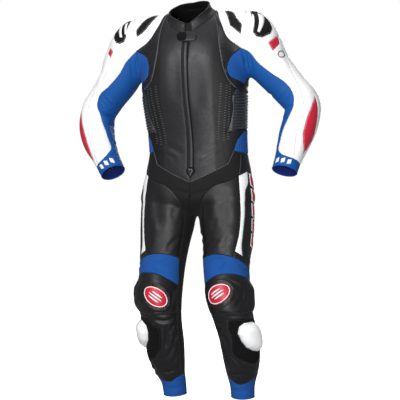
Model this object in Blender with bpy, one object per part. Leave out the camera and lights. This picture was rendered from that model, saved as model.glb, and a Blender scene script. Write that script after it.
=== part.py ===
"""One-piece motorcycle race suit, hollow and held in its worn shape.

Every piece of leather or stretch cloth is a thin wall between its own seams. All
walls lie on one smooth body form, which is blended from measured cross-sections of
the torso, neck, legs and arms. Sizes in the tables are millimetres and degrees.

The suit faces -Y, the wearer's left is +X and up is +Z. The origin is the middle of
the shoulder line, where the wearer's shoulders carry the suit.
"""

import bpy
import numpy as np
from mathutils import Vector
from mathutils.geometry import delaunay_2d_cdt

MM = 0.001

# ---------------------------------------------------------------- driving sizes
LEATHER = 1.6            # wall thickness of a leather piece
STRETCH = 1.4            # wall thickness of a stretch cloth piece
SEAM_GAP = 0.3           # gap between two pieces at a seam, and under what lies on one
TABLE_STEP = 6.0         # spacing at which section tables are read
HIP_BLEND = 26.0         # how softly the legs run into the torso
CROTCH_BLEND = 14.0
NECK_BLEND = 34.0
ARM_BLEND = 42.0

# Cross-sections of the torso: height, middle across and ahead, half width,
# depth in front and behind, squareness (2 is an ellipse)
TORSO_SECTIONS = [
    # z, x, y, half, front, back, square
    (40, 0, 28, 40, 34, 34, 2.0),
    (10, 0, 26, 90, 58, 60, 2.0),
    (-25, 1, 22, 138, 80, 78, 2.1),
    (-70, 3, 18, 172, 100, 94, 2.2),
    (-120, 5, 16, 184, 114, 106, 2.3),
    (-200, 7, 16, 189, 120, 114, 2.4),
    (-280, 8, 18, 187, 116, 112, 2.4),
    (-350, 11, 24, 182, 106, 104, 2.35),
    (-420, 14, 32, 177, 98, 96, 2.3),
    (-480, 15, 38, 178, 98, 98, 2.3),
    (-540, 13, 43, 189, 102, 110, 2.3),
    (-600, 9, 47, 197, 102, 120, 2.3),
    (-643, 6, 50, 190, 92, 116, 2.25),
    (-668, 6, 50, 150, 60, 90, 2.1),
    (-684, 6, 50, 60, 30, 40, 2.0),
]

# Cross-sections of a leg: height, middle across of the right and the left leg,
# middle ahead, half width, depth in front and behind, squareness
LEG_SECTIONS = [
    # z, x right, x left, y, half, front, back, square
    (-440, -88, 104, 42, 30, 30, 30, 2.0),
    (-540, -92, 108, 47, 68, 60, 74, 2.1),
    (-640, -97, 113, 50, 96, 92, 106, 2.1),
    (-721, -103, 116, 50, 94, 97, 104, 2.1),
    (-790, -110, 122, 42, 86, 92, 92, 2.1),
    (-862, -114, 121, 26, 80, 88, 82, 2.1),
    (-930, -116, 129, 10, 78, 88, 76, 2.1),
    (-1004, -117, 140, 2, 75, 84, 72, 2.1),
    (-1060, -114, 153, 8, 70, 72, 72, 2.1),
    (-1145, -111, 167, 36, 67, 64, 74, 2.1),
    (-1210, -112, 166, 66, 62, 60, 70, 2.1),
    (-1265, -108, 161, 94, 52, 52, 56, 2.0),
    (-1300, -100, 158, 110, 43, 46, 49, 2.0),
    (-1336, -98, 157, 120, 41, 45, 48, 2.0),
    (-1400, -98, 157, 130, 41, 45, 48, 2.0),
]

# Sections square to an arm's axis, from the neck over the shoulder to the wrist.
# The left arm hangs a little wider and higher than the right one.
ARM_SECTIONS = [
    # x right, z right, x left, z left, y, half, front, back, square
    (-12, -46, 14, -42, 26, 50, 50, 52, 2.0),
    (-60, -44, 60, -38, 26, 58, 58, 60, 2.0),
    (-130, -48, 134, -42, 24, 74, 74, 76, 2.0),
    (-202, -80, 205, -64, 24, 88, 84, 84, 2.1),
    (-248, -136, 244, -112, 26, 80, 82, 80, 2.1),
    (-282, -202, 282, -172, 30, 69, 74, 72, 2.1),
    (-332, -268, 344, -244, 38, 61, 66, 66, 2.1),
    (-366, -318, 390, -306, 44, 60, 64, 64, 2.15),
    (-370, -366, 386, -362, 34, 60, 60, 62, 2.15),
    (-350, -424, 372, -424, 6, 56, 54, 55, 2.1),
    (-314, -480, 359, -482, -26, 46, 46, 46, 2.05),
    (-278, -534, 349, -532, -52, 42.5, 41, 41, 2.0),
    (-252, -578, 341, -576, -72, 42.5, 41, 41, 2.0),
]

# The neck is a short column that leans forward, as a rider's does
NECK_BOTTOM = (10, 50, -62)
NECK_TOP = (-5, -26, 61)
NECK_HALF = (84, 68)      # at its bottom and at its top
NECK_DEPTH = (80, 62)


# ------------------------------------------------------------------ body form
def smooth_read(key, column, fine):
    """Values of a column along the smooth curve through it."""
    i = np.clip(np.searchsorted(key, fine, side="right") - 1, 0, len(key) - 2)
    gap = key[i + 1] - key[i]
    t = (fine - key[i]) / gap
    lean = np.gradient(column, key)
    return ((2 * t**3 - 3 * t**2 + 1) * column[i] + (t**3 - 2 * t**2 + t) * gap * lean[i]
            + (3 * t**2 - 2 * t**3) * column[i + 1] + (t**3 - t**2) * gap * lean[i + 1])


def smooth_table(rows, step=TABLE_STEP):
    """Rows sorted by their first column, read along smooth curves every step."""
    rows = np.array(rows, float)
    rows = rows[np.argsort(rows[:, 0])]
    key = rows[:, 0]
    fine = np.arange(key[0], key[-1] + step / 2, step)
    return np.array([fine] + [smooth_read(key, column, fine) for column in rows.T[1:]])


def read_table(table, key):
    return [np.interp(key, table[0], column) for column in table[1:]]


def ring(across, ahead, half, front, back, square):
    """How far a point lies outside a section, along the line from its middle."""
    deep = np.where(ahead >= 0, front, back)
    far = np.hypot(across, ahead) + 1e-9
    share = ((np.abs(across) / half) ** square + (np.abs(ahead) / deep) ** square) ** (1 / square)
    return far - far / np.maximum(share, 1e-6)


def blend(a, b, width):
    """The union of two forms with a soft fillet between them."""
    mix = np.clip(0.5 + 0.5 * (b - a) / width, 0, 1)
    return b + (a - b) * mix - width * mix * (1 - mix)


class Column:
    """A form with level cross-sections, read by height."""

    def __init__(self, rows):
        self.table = smooth_table(rows)

    def middle(self, h):
        x, y = read_table(self.table[:3], h)
        return np.stack([x, y, h], 1)

    def field(self, p):
        x, y, half, front, back, square = read_table(self.table, p[:, 2])
        past = np.maximum(p[:, 2] - self.table[0, -1], self.table[0, 0] - p[:, 2])
        return np.maximum(ring(p[:, 0] - x, y - p[:, 1], half, front, back, square), past)

    def cast(self, side, angle, h):
        """Start and direction of the line that leaves the axis at an angle."""
        turn = np.radians(angle)
        way = np.stack([side * np.sin(turn), -np.cos(turn), 0 * turn], 1)
        return self.middle(h), way

    def read(self, side, p):
        off = p - self.middle(p[:, 2])
        return np.degrees(np.arctan2(side * off[:, 0], -off[:, 1])), p[:, 2]


class Limb:
    """A form along a bent axis; rows hold x, y, z and the section's sizes."""

    def __init__(self, stations, rows, side):
        table = smooth_table(np.c_[stations, rows])
        self.h = table[0]
        self.axis = table[1:4].T
        self.sizes = table[4:]
        tangent = np.gradient(self.axis, self.h, axis=0)
        self.tangent = tangent / np.linalg.norm(tangent, axis=1)[:, None]
        self.bend = np.gradient(self.tangent, self.h, axis=0)
        ahead = self.tangent * self.tangent[:, 1:2] - np.array([0, 1.0, 0])
        self.ahead = ahead / np.linalg.norm(ahead, axis=1)[:, None]
        across = np.cross(self.tangent, self.ahead)
        self.across = across * np.sign(across[len(across) // 2, 0] * side)

    def at(self, table, h):
        return np.stack([np.interp(h, self.h, column) for column in table.T], 1)

    def station(self, p):
        """Where along the axis the nearest point to each p lies."""
        h = np.zeros(len(p))
        for i in range(0, len(p), 20000):
            q = p[i:i + 20000]
            h[i:i + 20000] = self.h[((self.axis ** 2).sum(1)[None] - 2 * q @ self.axis.T).argmin(1)]
        for _ in range(4):
            off = p - self.at(self.axis, h)
            slide = (off * self.at(self.tangent, h)).sum(1)
            ease = np.maximum(1 - (off * self.at(self.bend, h)).sum(1), 0.25)
            h = np.clip(h + np.clip(slide / ease, -9, 9), self.h[0], self.h[-1])
        return h

    def field(self, p):
        h = self.station(p)
        off = p - self.at(self.axis, h)
        past = np.abs((off * self.at(self.tangent, h)).sum(1))
        sizes = [np.interp(h, self.h, column) for column in self.sizes]
        return ring((off * self.at(self.across, h)).sum(1), (off * self.at(self.ahead, h)).sum(1), *sizes) + past

    def cast(self, side, angle, h):
        turn = np.radians(angle)[:, None]
        return self.at(self.axis, h), np.sin(turn) * self.at(self.across, h) + np.cos(turn) * self.at(self.ahead, h)

    def read(self, side, p):
        h = self.station(p)
        off = p - self.at(self.axis, h)
        return np.degrees(np.arctan2((off * self.at(self.across, h)).sum(1), (off * self.at(self.ahead, h)).sum(1))), h


def leg_rows(side):
    return [(z, xr if side < 0 else xl, *rest) for z, xr, xl, *rest in LEG_SECTIONS]


def arm_rows(side):
    return [(xr, y, zr, *size) if side < 0 else (xl, y, zl, *size) for xr, zr, xl, zl, y, *size in ARM_SECTIONS]


def neck_rows():
    low, high = (np.array([*end, NECK_HALF[i], NECK_DEPTH[i], NECK_DEPTH[i], 2.0])
                 for i, end in enumerate((NECK_BOTTOM, NECK_TOP)))
    return [tuple(low + (high - low) * t) for t in (0, 0.5, 1)]


def stations(*tables):
    """Distance along an axis at each row, as the mean of both sides' tables."""
    steps = [np.linalg.norm(np.diff(np.array(rows)[:, :3], axis=0), axis=1) for rows in tables]
    return np.r_[0, np.cumsum(np.mean(steps, axis=0))]


TORSO = Column(TORSO_SECTIONS)
NECK = Limb(stations(neck_rows()), neck_rows(), 1)
LEGS = {side: Column(leg_rows(side)) for side in (-1, 1)}
SLEEVE = stations(arm_rows(-1), arm_rows(1))
ARMS = {side: Limb(SLEEVE, arm_rows(side), side) for side in (-1, 1)}


def body(p):
    """Distance outside the whole body form; it is nothing on the suit's inside."""
    form = blend(TORSO.field(p), NECK.field(p), NECK_BLEND)
    legs = blend(LEGS[-1].field(p), LEGS[1].field(p), CROTCH_BLEND)
    form = blend(form, legs, HIP_BLEND)
    for side in (-1, 1):
        form = blend(form, ARMS[side].field(p), ARM_BLEND)
    return form


def slope(p, reach=0.5):
    """Outward normals of the form, and its value."""
    value = body(p)
    rise = [body(p + reach * axis) - body(p - reach * axis) for axis in np.eye(3)]
    rise = np.stack(rise, 1) / (2 * reach)
    steep = np.linalg.norm(rise, axis=1)
    return rise / steep[:, None], value / steep


def settle(p, rounds=4):
    """Move points on to the form, square to it."""
    for _ in range(rounds):
        out, value = slope(p)
        p = p - out * np.clip(value, -25, 25)[:, None]
    return p


def leave(start, way, reach=340, step=5.0):
    """Where lines from inside the form first come out of it."""
    spots = np.arange(0, reach, step)
    p = start[:, None, :] + way[:, None, :] * spots[None, :, None]
    value = body(p.reshape(-1, 3)).reshape(len(start), -1)
    outside = value > 0
    outside[:, 0] = False
    first = np.maximum(outside.argmax(1), 1)
    low, high = spots[first - 1], spots[first]
    for _ in range(16):
        mid = (low + high) / 2
        out = body(start + way * mid[:, None]) > 0
        high = np.where(out, mid, high)
        low = np.where(out, low, mid)
    return start + way * ((low + high) / 2)[:, None]


# ---------------------------------------------------------------------- seams
# A mark is a place on the form. T, L, A and N are the torso, a leg, an arm and the
# neck: the angle out from dead ahead towards the suit's side, then a height (T, L)
# or a station along the axis (A, N). F and B are the front and back of the torso: a
# distance out from its middle, then a height. C is the line between the legs: an
# angle that turns from ahead (0) down (90) to behind (180). P is the crown of the
# armpit at a distance behind the origin. Where the two sides differ, a mark gives the
# right side's pair and then the left side's.
CROTCH_HEIGHT = -640

# Seam junctions of one half; the other half mirrors them on its own limbs
JUNCTIONS = {
    # collar and zip
    "collar_top": ("N", 8.3, 97), "collar_low": ("N", 7.6, 74),
    "zip_low": ("F", 11, -526),
    # round the neck
    "neck_princess": ("A", 50, 74, 50, 76), "neck_yoke": ("A", 75, 80, 84, 73), "neck_back": ("N", 138, 92, 138, 88),
    # armhole
    "hole_front": ("A", -22, 204, -28, 226), "hole_top": ("A", 98, 160), "hole_back": ("A", 168, 186),
    "hole_low": ("B", 195, -138), "pit_back": ("P", 58, 0), "pit_front": ("P", 16, 0),
    # torso
    "gusset_low": ("T", 74, -223), "chest_low": ("T", 68, -248), "side_high": ("T", 118, -256),
    "rib_low": ("T", 58, -406), "waist_high": ("T", 92, -387), "side_mid": ("T", 118, -384),
    "waist_low": ("T", 67, -465), "waist_hip": ("T", 76, -470), "side_low": ("T", 118, -474),
    "hip_front": ("T", 59, -511),
    # hip and thigh
    "stripe_top_in": ("L", 47, -552), "stripe_top_out": ("L", 73, -536),
    "stripe_low_in": ("L", 32, -815), "stripe_low_out": ("L", 54, -832), "band_stripe": ("L", 27, -834),
    "seat_in": ("L", -112, -715), "seat_out": ("L", 118, -700),
    # knee
    "band_top_in": ("L", -58, -842), "band_top_out": ("L", 112, -888),
    "band_low_in": ("L", -68, -938), "band_low_out": ("L", 113, -922),
    "knee_in": ("L", -74, -1031), "knee_out": ("L", 115, -1026), "knee_back_in": ("L", -112, -1034),
    # ankle and cuffs
    "ankle_in": ("L", -76, -1266), "ankle_out": ("L", 112, -1264), "ankle_back": ("L", 180, -1254),
    "ankle_hem": ("L", 180, -1342),
    "wrist_in": ("A", -22, 712), "wrist_out": ("A", 40, 716), "wrist_back": ("A", 165, 716),
    "wrist_hem": ("A", 165, 754),
}

# Seams of one half, from junction to junction through marks
SEAMS = [
    # collar, zip and princess line
    ("collar_top", ("N", 25, 105), ("N", 45, 112), ("N", 66, 117), ("N", 92, 120), ("N", 132, 118), "collar_back"),
    ("collar_low", ("N", 22, 80, 25, 81), ("N", 40, 91, 44, 87), ("N", 58, 102, 60, 91), "neck_princess", "neck_yoke",
     ("A", 114, 60, 114, 58),
     "neck_back", "back_neck"),
    ("collar_top", "collar_low"), ("collar_top", "zip_top"),
    ("collar_low", ("F", 11, -120), ("F", 11, -250), ("F", 11, -400), "zip_low"),
    ("zip_low", ("F", 15, -531), "zip_tip"),
    ("zip_tip", "vee_tip"),
    ("neck_princess", ("F", 99, -47, 110, -45), ("F", 102, -86, 115, -90), ("F", 106, -130, 122, -132),
     ("F", 118, -181, 131, -180), ("F", 133, -222, 147, -222),
     "chest_low"),
    ("chest_low", ("T", 78, -256), ("T", 95, -260), "side_high"),
    # yoke and armhole
    ("neck_yoke", ("F", 113, -31, 124, -28), ("F", 139, -71, 142, -70), "hole_front"),
    ("hole_front", ("A", 5, 200), ("A", 45, 172), "hole_top", ("A", 140, 168), "hole_back"),
    ("hole_back", ("A", -172, 220), "hole_low", ("B", 192, -168), "pit_back", "pit_front"),
    ("hole_front", ("F", 192, -148), ("F", 193, -178), "pit_front"),
    ("neck_back", ("B", 120, -50), "hole_back"),
    ("hole_front", ("F", 152, -136, 152, -146), ("F", 141, -172, 143, -180), ("F", 150, -206), "gusset_low"),
    ("gusset_low", ("T", 84, -229), "pit_front"),
    # side and waist
    ("pit_back", "side_high"), ("side_high", ("T", 118, -320), "side_mid"), ("side_mid", "side_low"),
    ("chest_low", ("T", 64, -275), ("T", 65, -324), ("T", 62, -372), "rib_low"),
    ("rib_low", ("T", 76, -391), "waist_high"),
    ("waist_high", "side_mid"),
    ("waist_high", ("T", 81, -402), ("T", 73, -425), "waist_low"),
    ("waist_low", "waist_hip"), ("waist_hip", ("T", 98, -473), "side_low"),
    ("waist_low", "hip_front"), ("hip_front", ("F", 66, -545), "vee_tip"),
    ("side_low", ("B", 92, -484), "back_waist"),
    # hip, crotch and seat
    ("waist_hip", ("L", 52, -514), "stripe_top_in"),
    ("vee_tip", ("C", 25, 0), ("C", 58, 0), "crotch"),
    ("crotch", ("C", 118, 0), ("C", 150, 0), "seat_back"),
    ("back_waist", "seat_back"),
    ("stripe_top_in", ("L", 22, -570), ("L", -6, -585), ("L", -25, -613), ("L", -42, -655), ("L", -50, -695),
     ("L", -56, -760), "band_top_in"),
    ("crotch", "seat_in"),
    ("seat_in", ("L", -112, -800), ("L", -112, -920), "knee_back_in"),
    ("side_low", ("L", 116, -590), "seat_out"), ("seat_out", ("L", 116, -800), "band_top_out"),
    ("seat_out", ("L", 145, -712), ("L", 180, -728), ("L", -145, -728), "seat_in"),
    # thigh stripe
    ("stripe_top_in", ("L", 46, -636), ("L", 45, -692), ("L", 41, -750), "stripe_low_in"),
    ("stripe_top_in", "stripe_top_out"),
    ("stripe_top_out", ("L", 69, -580), ("L", 61, -600), ("L", 57, -645), ("L", 55, -692), ("L", 50, -750),
     ("L", 48, -806), "stripe_low_out"),
    ("stripe_low_in", "stripe_low_out"), ("stripe_low_in", "band_stripe"),
    # knee
    ("band_top_in", ("L", -15, -826), "band_stripe", ("L", 52, -850), ("L", 82, -872), "band_top_out"),
    ("band_top_in", "band_low_in"), ("band_top_out", "band_low_out"),
    ("band_low_in", ("L", -38, -918), ("L", -8, -897), ("L", 25, -892), ("L", 62, -903), ("L", 90, -914),
     "band_low_out"),
    ("band_low_in", ("L", -70, -985), "knee_in"), ("band_low_out", ("L", 115, -975), "knee_out"),
    ("knee_in", ("L", -42, -1035), ("L", -10, -1039), ("L", 40, -1033), ("L", 80, -1026), "knee_out"),
    ("knee_in", "knee_back_in"),
    ("knee_out", ("L", 145, -1032), ("L", 180, -1036), ("L", -145, -1036), "knee_back_in"),
    # shin and ankle
    ("knee_in", ("L", -68, -1110), ("L", -70, -1200), "ankle_in"),
    ("knee_out", ("L", 122, -1110), ("L", 120, -1200), "ankle_out"),
    ("ankle_in", ("L", -40, -1276), ("L", -8, -1291), ("L", 22, -1290), ("L", 60, -1276), "ankle_out"),
    ("ankle_out", ("L", 148, -1256), "ankle_back"), ("ankle_back", ("L", -140, -1254), "ankle_in"),
    ("ankle_back", "ankle_hem"),
    # sleeve
    ("hole_front", ("A", -17, 258), ("A", -14, 305), ("A", -3, 362), ("A", 6, 414, 8, 418),
     ("A", -9, 455, 1, 455), ("A", -26, 505, -18, 505), ("A", -46, 574, -38, 574), ("A", -62, 645, -50, 645),
     ("A", -60, 690, -50, 690), "wrist_in"),
    ("hole_top", ("A", 92, 240), ("A", 72, 330), ("A", 45, 410), ("A", 24, 470), ("A", 16, 550), ("A", 14, 620),
     "wrist_out"),
    ("hole_low", ("A", -162, 360), ("A", -168, 480), ("A", -174, 600), "wrist_back"),
    ("wrist_in", ("A", 8, 717), "wrist_out"), ("wrist_out", ("A", 90, 714), ("A", 130, 714), "wrist_back"),
    ("wrist_back", ("A", -150, 718), ("A", -100, 716), ("A", -55, 714), "wrist_in"),
    ("wrist_back", "wrist_hem"),
    # hems and edges that close on themselves
    ("ankle_hem", ("L", 120, -1343), ("L", 60, -1345), ("L", 0, -1347), ("L", -60, -1343), ("L", -120, -1341),
     "ankle_hem"),
    ("wrist_hem", ("A", 110, 753), ("A", 50, 754), ("A", -10, 755), ("A", -70, 756), ("A", -130, 756), "wrist_hem"),
]

# Junctions on the middle line, which both halves share
MIDDLE = {
    "collar_back": ("N", 180, 112), "back_neck": ("N", 180, 82), "zip_top": ("N", 0, 97),
    "zip_tip": ("F", 0, -559), "vee_tip": ("F", 0, -574), "crotch": ("C", 90, 0),
    "back_waist": ("B", 0, -486), "seat_back": ("B", 0, -560),
}

SOFT_REACH = 10.0        # stretch of the form over which a wall's direction is read
SEAM_STEP = 26.0         # longest straight stretch of a seam
SEAM_TURN = 28.0         # most a seam turns between two of its points, in degrees

# Pieces that close at the middle line run over both halves. A loop lists the
# junctions round a piece; for a middle piece it is one half, middle to middle.
PANELS = [
    # name, halves, chart, wall, slot, grid, loop
    ("collar", "both", "N", LEATHER, "black_leather", 24,
     "collar_back collar_top collar_low neck_princess neck_yoke neck_back back_neck"),
    ("front_zip", "both", "T", LEATHER, "zip_tape", 26, "zip_tip zip_low collar_low collar_top zip_top"),
    ("back_panel", "both", "T", LEATHER, "black_leather", 42,
     "back_neck neck_back hole_back hole_low pit_back side_high side_mid side_low back_waist"),
    ("front_panel", "each", "T", LEATHER, "black_leather", 36,
     "collar_low neck_princess chest_low rib_low waist_high waist_low hip_front vee_tip zip_tip zip_low"),
    ("chest_side", "each", "T", LEATHER, "black_leather", 34,
     "neck_princess neck_yoke hole_front gusset_low pit_front pit_back side_high chest_low"),
    ("gusset", "each", "T", STRETCH, "blue_stretch", 30, "hole_front gusset_low pit_front"),
    ("side_rib", "each", "T", STRETCH, "black_stretch", 0, "chest_low side_high side_mid waist_high rib_low"),
    ("waist_side", "each", "T", STRETCH, "blue_stretch", 0, "waist_high side_mid side_low waist_hip waist_low"),
    ("shoulder_yoke", "each", "A", LEATHER, "white_leather", 32, "neck_yoke hole_front hole_top hole_back neck_back"),
    ("seat", "each", "L", LEATHER, "black_leather", 40, "back_waist seat_back crotch seat_in seat_out side_low"),
    ("hip_stretch", "each", "L", STRETCH, "black_stretch", 36,
     "vee_tip hip_front waist_low waist_hip stripe_top_in band_top_in band_low_in knee_in knee_back_in seat_in crotch"),
    ("thigh_front", "each", "L", LEATHER, "black_leather", 36, "stripe_top_in stripe_low_in band_stripe band_top_in"),
    ("thigh_stripe", "each", "L", LEATHER, "white_leather", 26,
     "stripe_top_in stripe_top_out stripe_low_out stripe_low_in"),
    ("thigh_outer", "each", "L", LEATHER, "black_leather", 36,
     "waist_hip side_low seat_out band_top_out band_stripe stripe_low_in stripe_low_out stripe_top_out stripe_top_in"),
    ("thigh_back", "each", "L", LEATHER, "black_leather", 38,
     "seat_out seat_in knee_back_in knee_out band_low_out band_top_out"),
    ("knee_band", "each", "L", STRETCH, "blue_stretch", 28,
     "band_top_in band_stripe band_top_out band_low_out band_low_in"),
    ("knee_cup", "each", "L", LEATHER, "black_leather", 28, "band_low_in band_low_out knee_out knee_in"),
    ("shin", "each", "L", LEATHER, "black_leather", 32, "knee_in knee_out ankle_out ankle_in"),
    ("calf", "each", "L", STRETCH, "black_stretch", 34, "knee_out knee_back_in knee_in ankle_in ankle_back ankle_out"),
    ("ankle_cuff", "each", "L", STRETCH, "blue_stretch", 26,
     "ankle_back ankle_in ankle_out ankle_back ankle_hem ankle_hem"),
    ("sleeve_inner", "each", "A", LEATHER, "blue_leather", 30,
     "hole_front pit_front pit_back hole_low wrist_back wrist_in"),
    ("sleeve_front", "each", "A", LEATHER, "white_leather", 30, "hole_front hole_top wrist_out wrist_in"),
    ("sleeve_outer", "each", "A", LEATHER, "white_leather", 30, "hole_top hole_back hole_low wrist_back wrist_out"),
    ("wrist_cuff", "each", "A", LEATHER, "blue_leather", 24,
     "wrist_back wrist_in wrist_out wrist_back wrist_hem wrist_hem"),
]

# Ribs raised across a stretch piece: top and bottom height, how far they drop towards
# the front, angles of their two ends, pitch, height of a rib, columns of points
RIBS = {
    # piece: top, low, drop, inner end, outer end, pitch, rise, columns
    "side_rib": (-259, -386, 12, 70, 114, 10.0, 2.2, 6),
    "waist_side": (-398, -472, -22, 78, 114, 6.4, 1.3, 4),
}

# Pieces set into a panel ("cut") or sewn on top of it ("on"). The outline is a row of
# angle and height or station on the panel's own form.
INLAYS = [
    # name, side, panel, way, wall, slot, grid, outline
    ("yoke_inset", -1, "shoulder_yoke", "cut", LEATHER, "black_leather", 26,
     [(78, 104), (62, 106), (45, 110), (29, 121), (16, 135), (8, 152), (5, 171), (21, 166), (34, 150), (51, 134),
      (67, 118)]),
    ("yoke_inset", 1, "shoulder_yoke", "cut", LEATHER, "black_leather", 26,
     [(78, 100), (65, 104), (33, 123), (11, 138), (2, 162), (-3, 183), (19, 174), (34, 151), (53, 135), (74, 112)]),
    ("shoulder_vents", -1, "sleeve_front", "on", LEATHER, "black_leather", 22,
     [(68, 174), (54, 178), (39, 187), (21, 199), (16, 211), (22, 223), (34, 228), (52, 225), (68, 217), (75, 200),
      (76, 182)]),
    ("shoulder_vents", 1, "sleeve_front", "on", LEATHER, "black_leather", 22,
     [(68, 174), (54, 181), (33, 198), (18, 213), (18, 230), (28, 243), (52, 244), (65, 233), (73, 212), (77, 194),
      (75, 180)]),
    ("arm_patch", -1, "sleeve_front", "cut", LEATHER, "red_leather", 24,
     [(49, 251), (30, 254), (26, 272), (46, 268)]),
    ("arm_patch", 1, "sleeve_front", "cut", LEATHER, "red_leather", 24,
     [(35, 270), (80, 260), (70, 285), (35, 299)]),
    ("forearm_leaf", -1, "sleeve_outer", "cut", LEATHER, "red_leather", 26,
     [(64, 498), (43, 530), (30, 573), (28, 614), (33, 650), (50, 684), (74, 690), (87, 655), (93, 610), (86, 570),
      (78, 528)]),
    ("forearm_leaf", 1, "sleeve_outer", "cut", LEATHER, "red_leather", 26,
     [(64, 486), (43, 502), (33, 525), (29, 567), (33, 608), (48, 641), (79, 674), (90, 645), (95, 602), (84, 571),
      (77, 538)]),
    ("knee_badge", -1, "knee_cup", "on", LEATHER, "badge_leather", 24, ("oval", -7, -975, 46, 30, 38)),
    ("knee_badge", 1, "knee_cup", "on", LEATHER, "badge_leather", 24, ("oval", -8, -961, 46, 30, 36)),
    ("slider_pad", -1, "shin", "on", STRETCH, "hook_pad", 28,
     [(66, -1050), (24, -1056), (12, -1074), (-10, -1087), (-8, -1132), (-1, -1169), (24, -1201), (68, -1221),
      (100, -1205), (111, -1150), (112, -1095), (104, -1054)]),
    ("slider_pad", 1, "shin", "on", STRETCH, "hook_pad", 28,
     [(2, -1050), (34, -1048), (83, -1048), (106, -1060), (110, -1095), (108, -1148), (90, -1195), (59, -1214),
      (34, -1208), (0, -1189), (-14, -1168), (-4, -1116), (-8, -1086)]),
    ("slider_puck", -1, "slider_pad", "on", 3.0, "white_plastic", 17,
     [(49, -1063), (33, -1079), (31, -1104), (38, -1134), (60, -1161), (78, -1168), (93, -1143), (101, -1105),
      (97, -1073), (74, -1062)]),
    ("slider_puck", 1, "slider_pad", "on", 3.0, "white_plastic", 17,
     [(17, -1097), (26, -1074), (42, -1062), (67, -1060), (90, -1068), (98, -1092), (96, -1125), (88, -1153),
      (69, -1166), (50, -1160), (33, -1148), (22, -1126)]),
]
PUCK_DOME = 20.0         # how far the slider puck rises above its edge
CUP_LIP = 4.0            # how far the moulded knee cup stands proud over the shin
ZIP_GUARD = 1.5          # ridge of the guard over the zip teeth

# Soft pads under the leather and the largest folds: a line of marks, how wide and how
# far out (or in) the cloth goes. Folds also draw rows of points along themselves.
SWELLS = [
    # marks, width, rise
    ([("L", -6, -955), ("L", -4, -990)], 62, 9),
    ([("L", 86, -956), ("L", 82, -994)], 46, 15),
    ([("A", 172, 395), ("A", 172, 445)], 58, 6),
    ([("A", 84, 185), ("A", 70, 225)], 52, 3),
]
FOLDS = [
    # panel, marks, width, rise
    ("hip_stretch", [("L", -62, -760), ("L", -88, -775)], 17, -4),
    ("thigh_front", [("L", 6, -650), ("L", 30, -638)], 18, -3),
    ("thigh_front", [("L", -36, -742), ("L", -8, -760), ("L", 12, -764)], 18, -3),
    ("thigh_back", [("L", 140, -965), ("L", 180, -975), ("L", -150, -968)], 18, -6),
    ("thigh_back", [("L", 132, -1002), ("L", 180, -1012), ("L", -150, -1004)], 17, -6),
    ("thigh_back", [("L", 140, -930), ("L", 175, -936)], 17, -5),
    ("seat", [("L", 140, -676), ("L", 180, -692), ("L", -150, -690)], 18, -5),
    ("calf", [("L", 150, -1066), ("L", 180, -1072), ("L", -140, -1066)], 18, -5),
    ("shin", [("L", -50, -1060), ("L", -20, -1070), ("L", 0, -1064)], 15, -4),
    ("shin", [("L", -44, -1240), ("L", -10, -1252), ("L", 18, -1248)], 15, -3),
    ("sleeve_inner", [("A", -60, 408), ("A", -92, 398), ("A", -130, 408)], 15, -5),
    ("sleeve_inner", [("A", -66, 566), ("A", -100, 560), ("A", -128, 566)], 14, -4),
    ("sleeve_inner", [("A", -70, 352), ("A", -110, 344)], 15, -4),
    ("sleeve_front", [("A", 2, 432), ("A", 16, 440)], 14, -3),
    ("back_panel", [("T", 150, -392), ("T", 178, -400), ("T", -152, -394)], 18, -5),
    ("back_panel", [("T", 146, -432), ("T", 180, -438), ("T", -148, -434)], 18, -4),
]

# The closure tab lies across the zip under the collar: its edges on the front
TAB_EDGES = [(-32, -52), (6, -50), (40, -53), (40, -86), (6, -87), (-32, -84)]
TAB_LIFT = 4.0           # its inner face over the body form

SLOTS = {
    # slot: colour as linear light, roughness, metallic
    "black_leather": ((0.012, 0.012, 0.014), 0.42, 0.0),
    "black_stretch": ((0.010, 0.010, 0.011), 0.85, 0.0),
    "white_leather": ((0.80, 0.80, 0.81), 0.40, 0.0),
    "blue_leather": ((0.010, 0.095, 0.38), 0.45, 0.0),
    "blue_stretch": ((0.010, 0.090, 0.36), 0.80, 0.0),
    "red_leather": ((0.53, 0.010, 0.035), 0.42, 0.0),
    "badge_leather": ((0.55, 0.012, 0.035), 0.40, 0.0),
    "hook_pad": ((0.014, 0.014, 0.015), 0.95, 0.0),
    "zip_tape": ((0.016, 0.016, 0.018), 0.70, 0.0),
    "white_plastic": ((0.78, 0.78, 0.79), 0.30, 0.0),
}


def form_of(kind, side):
    return {"N": NECK, "L": LEGS[side], "A": ARMS[side]}.get(kind, TORSO)


def armpit(side, y):
    """The highest point under the arm at a distance behind the origin."""
    x, z = np.meshgrid(side * np.arange(165.0, 240, 3), np.arange(-150.0, -250, -2))
    spots = np.stack([x.ravel(), np.full(x.size, float(y)), z.ravel()], 1)
    return spots[(body(spots) > 0).argmax()]


def place(marks, side):
    """Points of the form under marks."""
    starts, ways = [], []
    for kind, *spot in marks:
        a, h = spot[-2:] if side > 0 else spot[:2]
        form = form_of(kind, side)
        if kind in "FB":
            start, way = TORSO.middle(np.array([h])) + [side * a, 0, 0], [[0, -1 if kind == "F" else 1, 0]]
        elif kind == "C":
            turn = np.radians(a)
            start, way = TORSO.middle(np.array([CROTCH_HEIGHT])), [[0, -np.cos(turn), -np.sin(turn)]]
        elif kind == "P":
            start, way = [armpit(side, a) + [0, 0, 30]], [[0, 0, -1]]
        else:
            turn = side * a if kind == "N" else a
            start, way = form.cast(side, np.array([float(turn)]), np.array([float(h)]))
        starts.append(start[0])
        ways.append(np.array(way, float)[0])
    return settle(leave(np.array(starts, float), np.array(ways)), 2)


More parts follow.
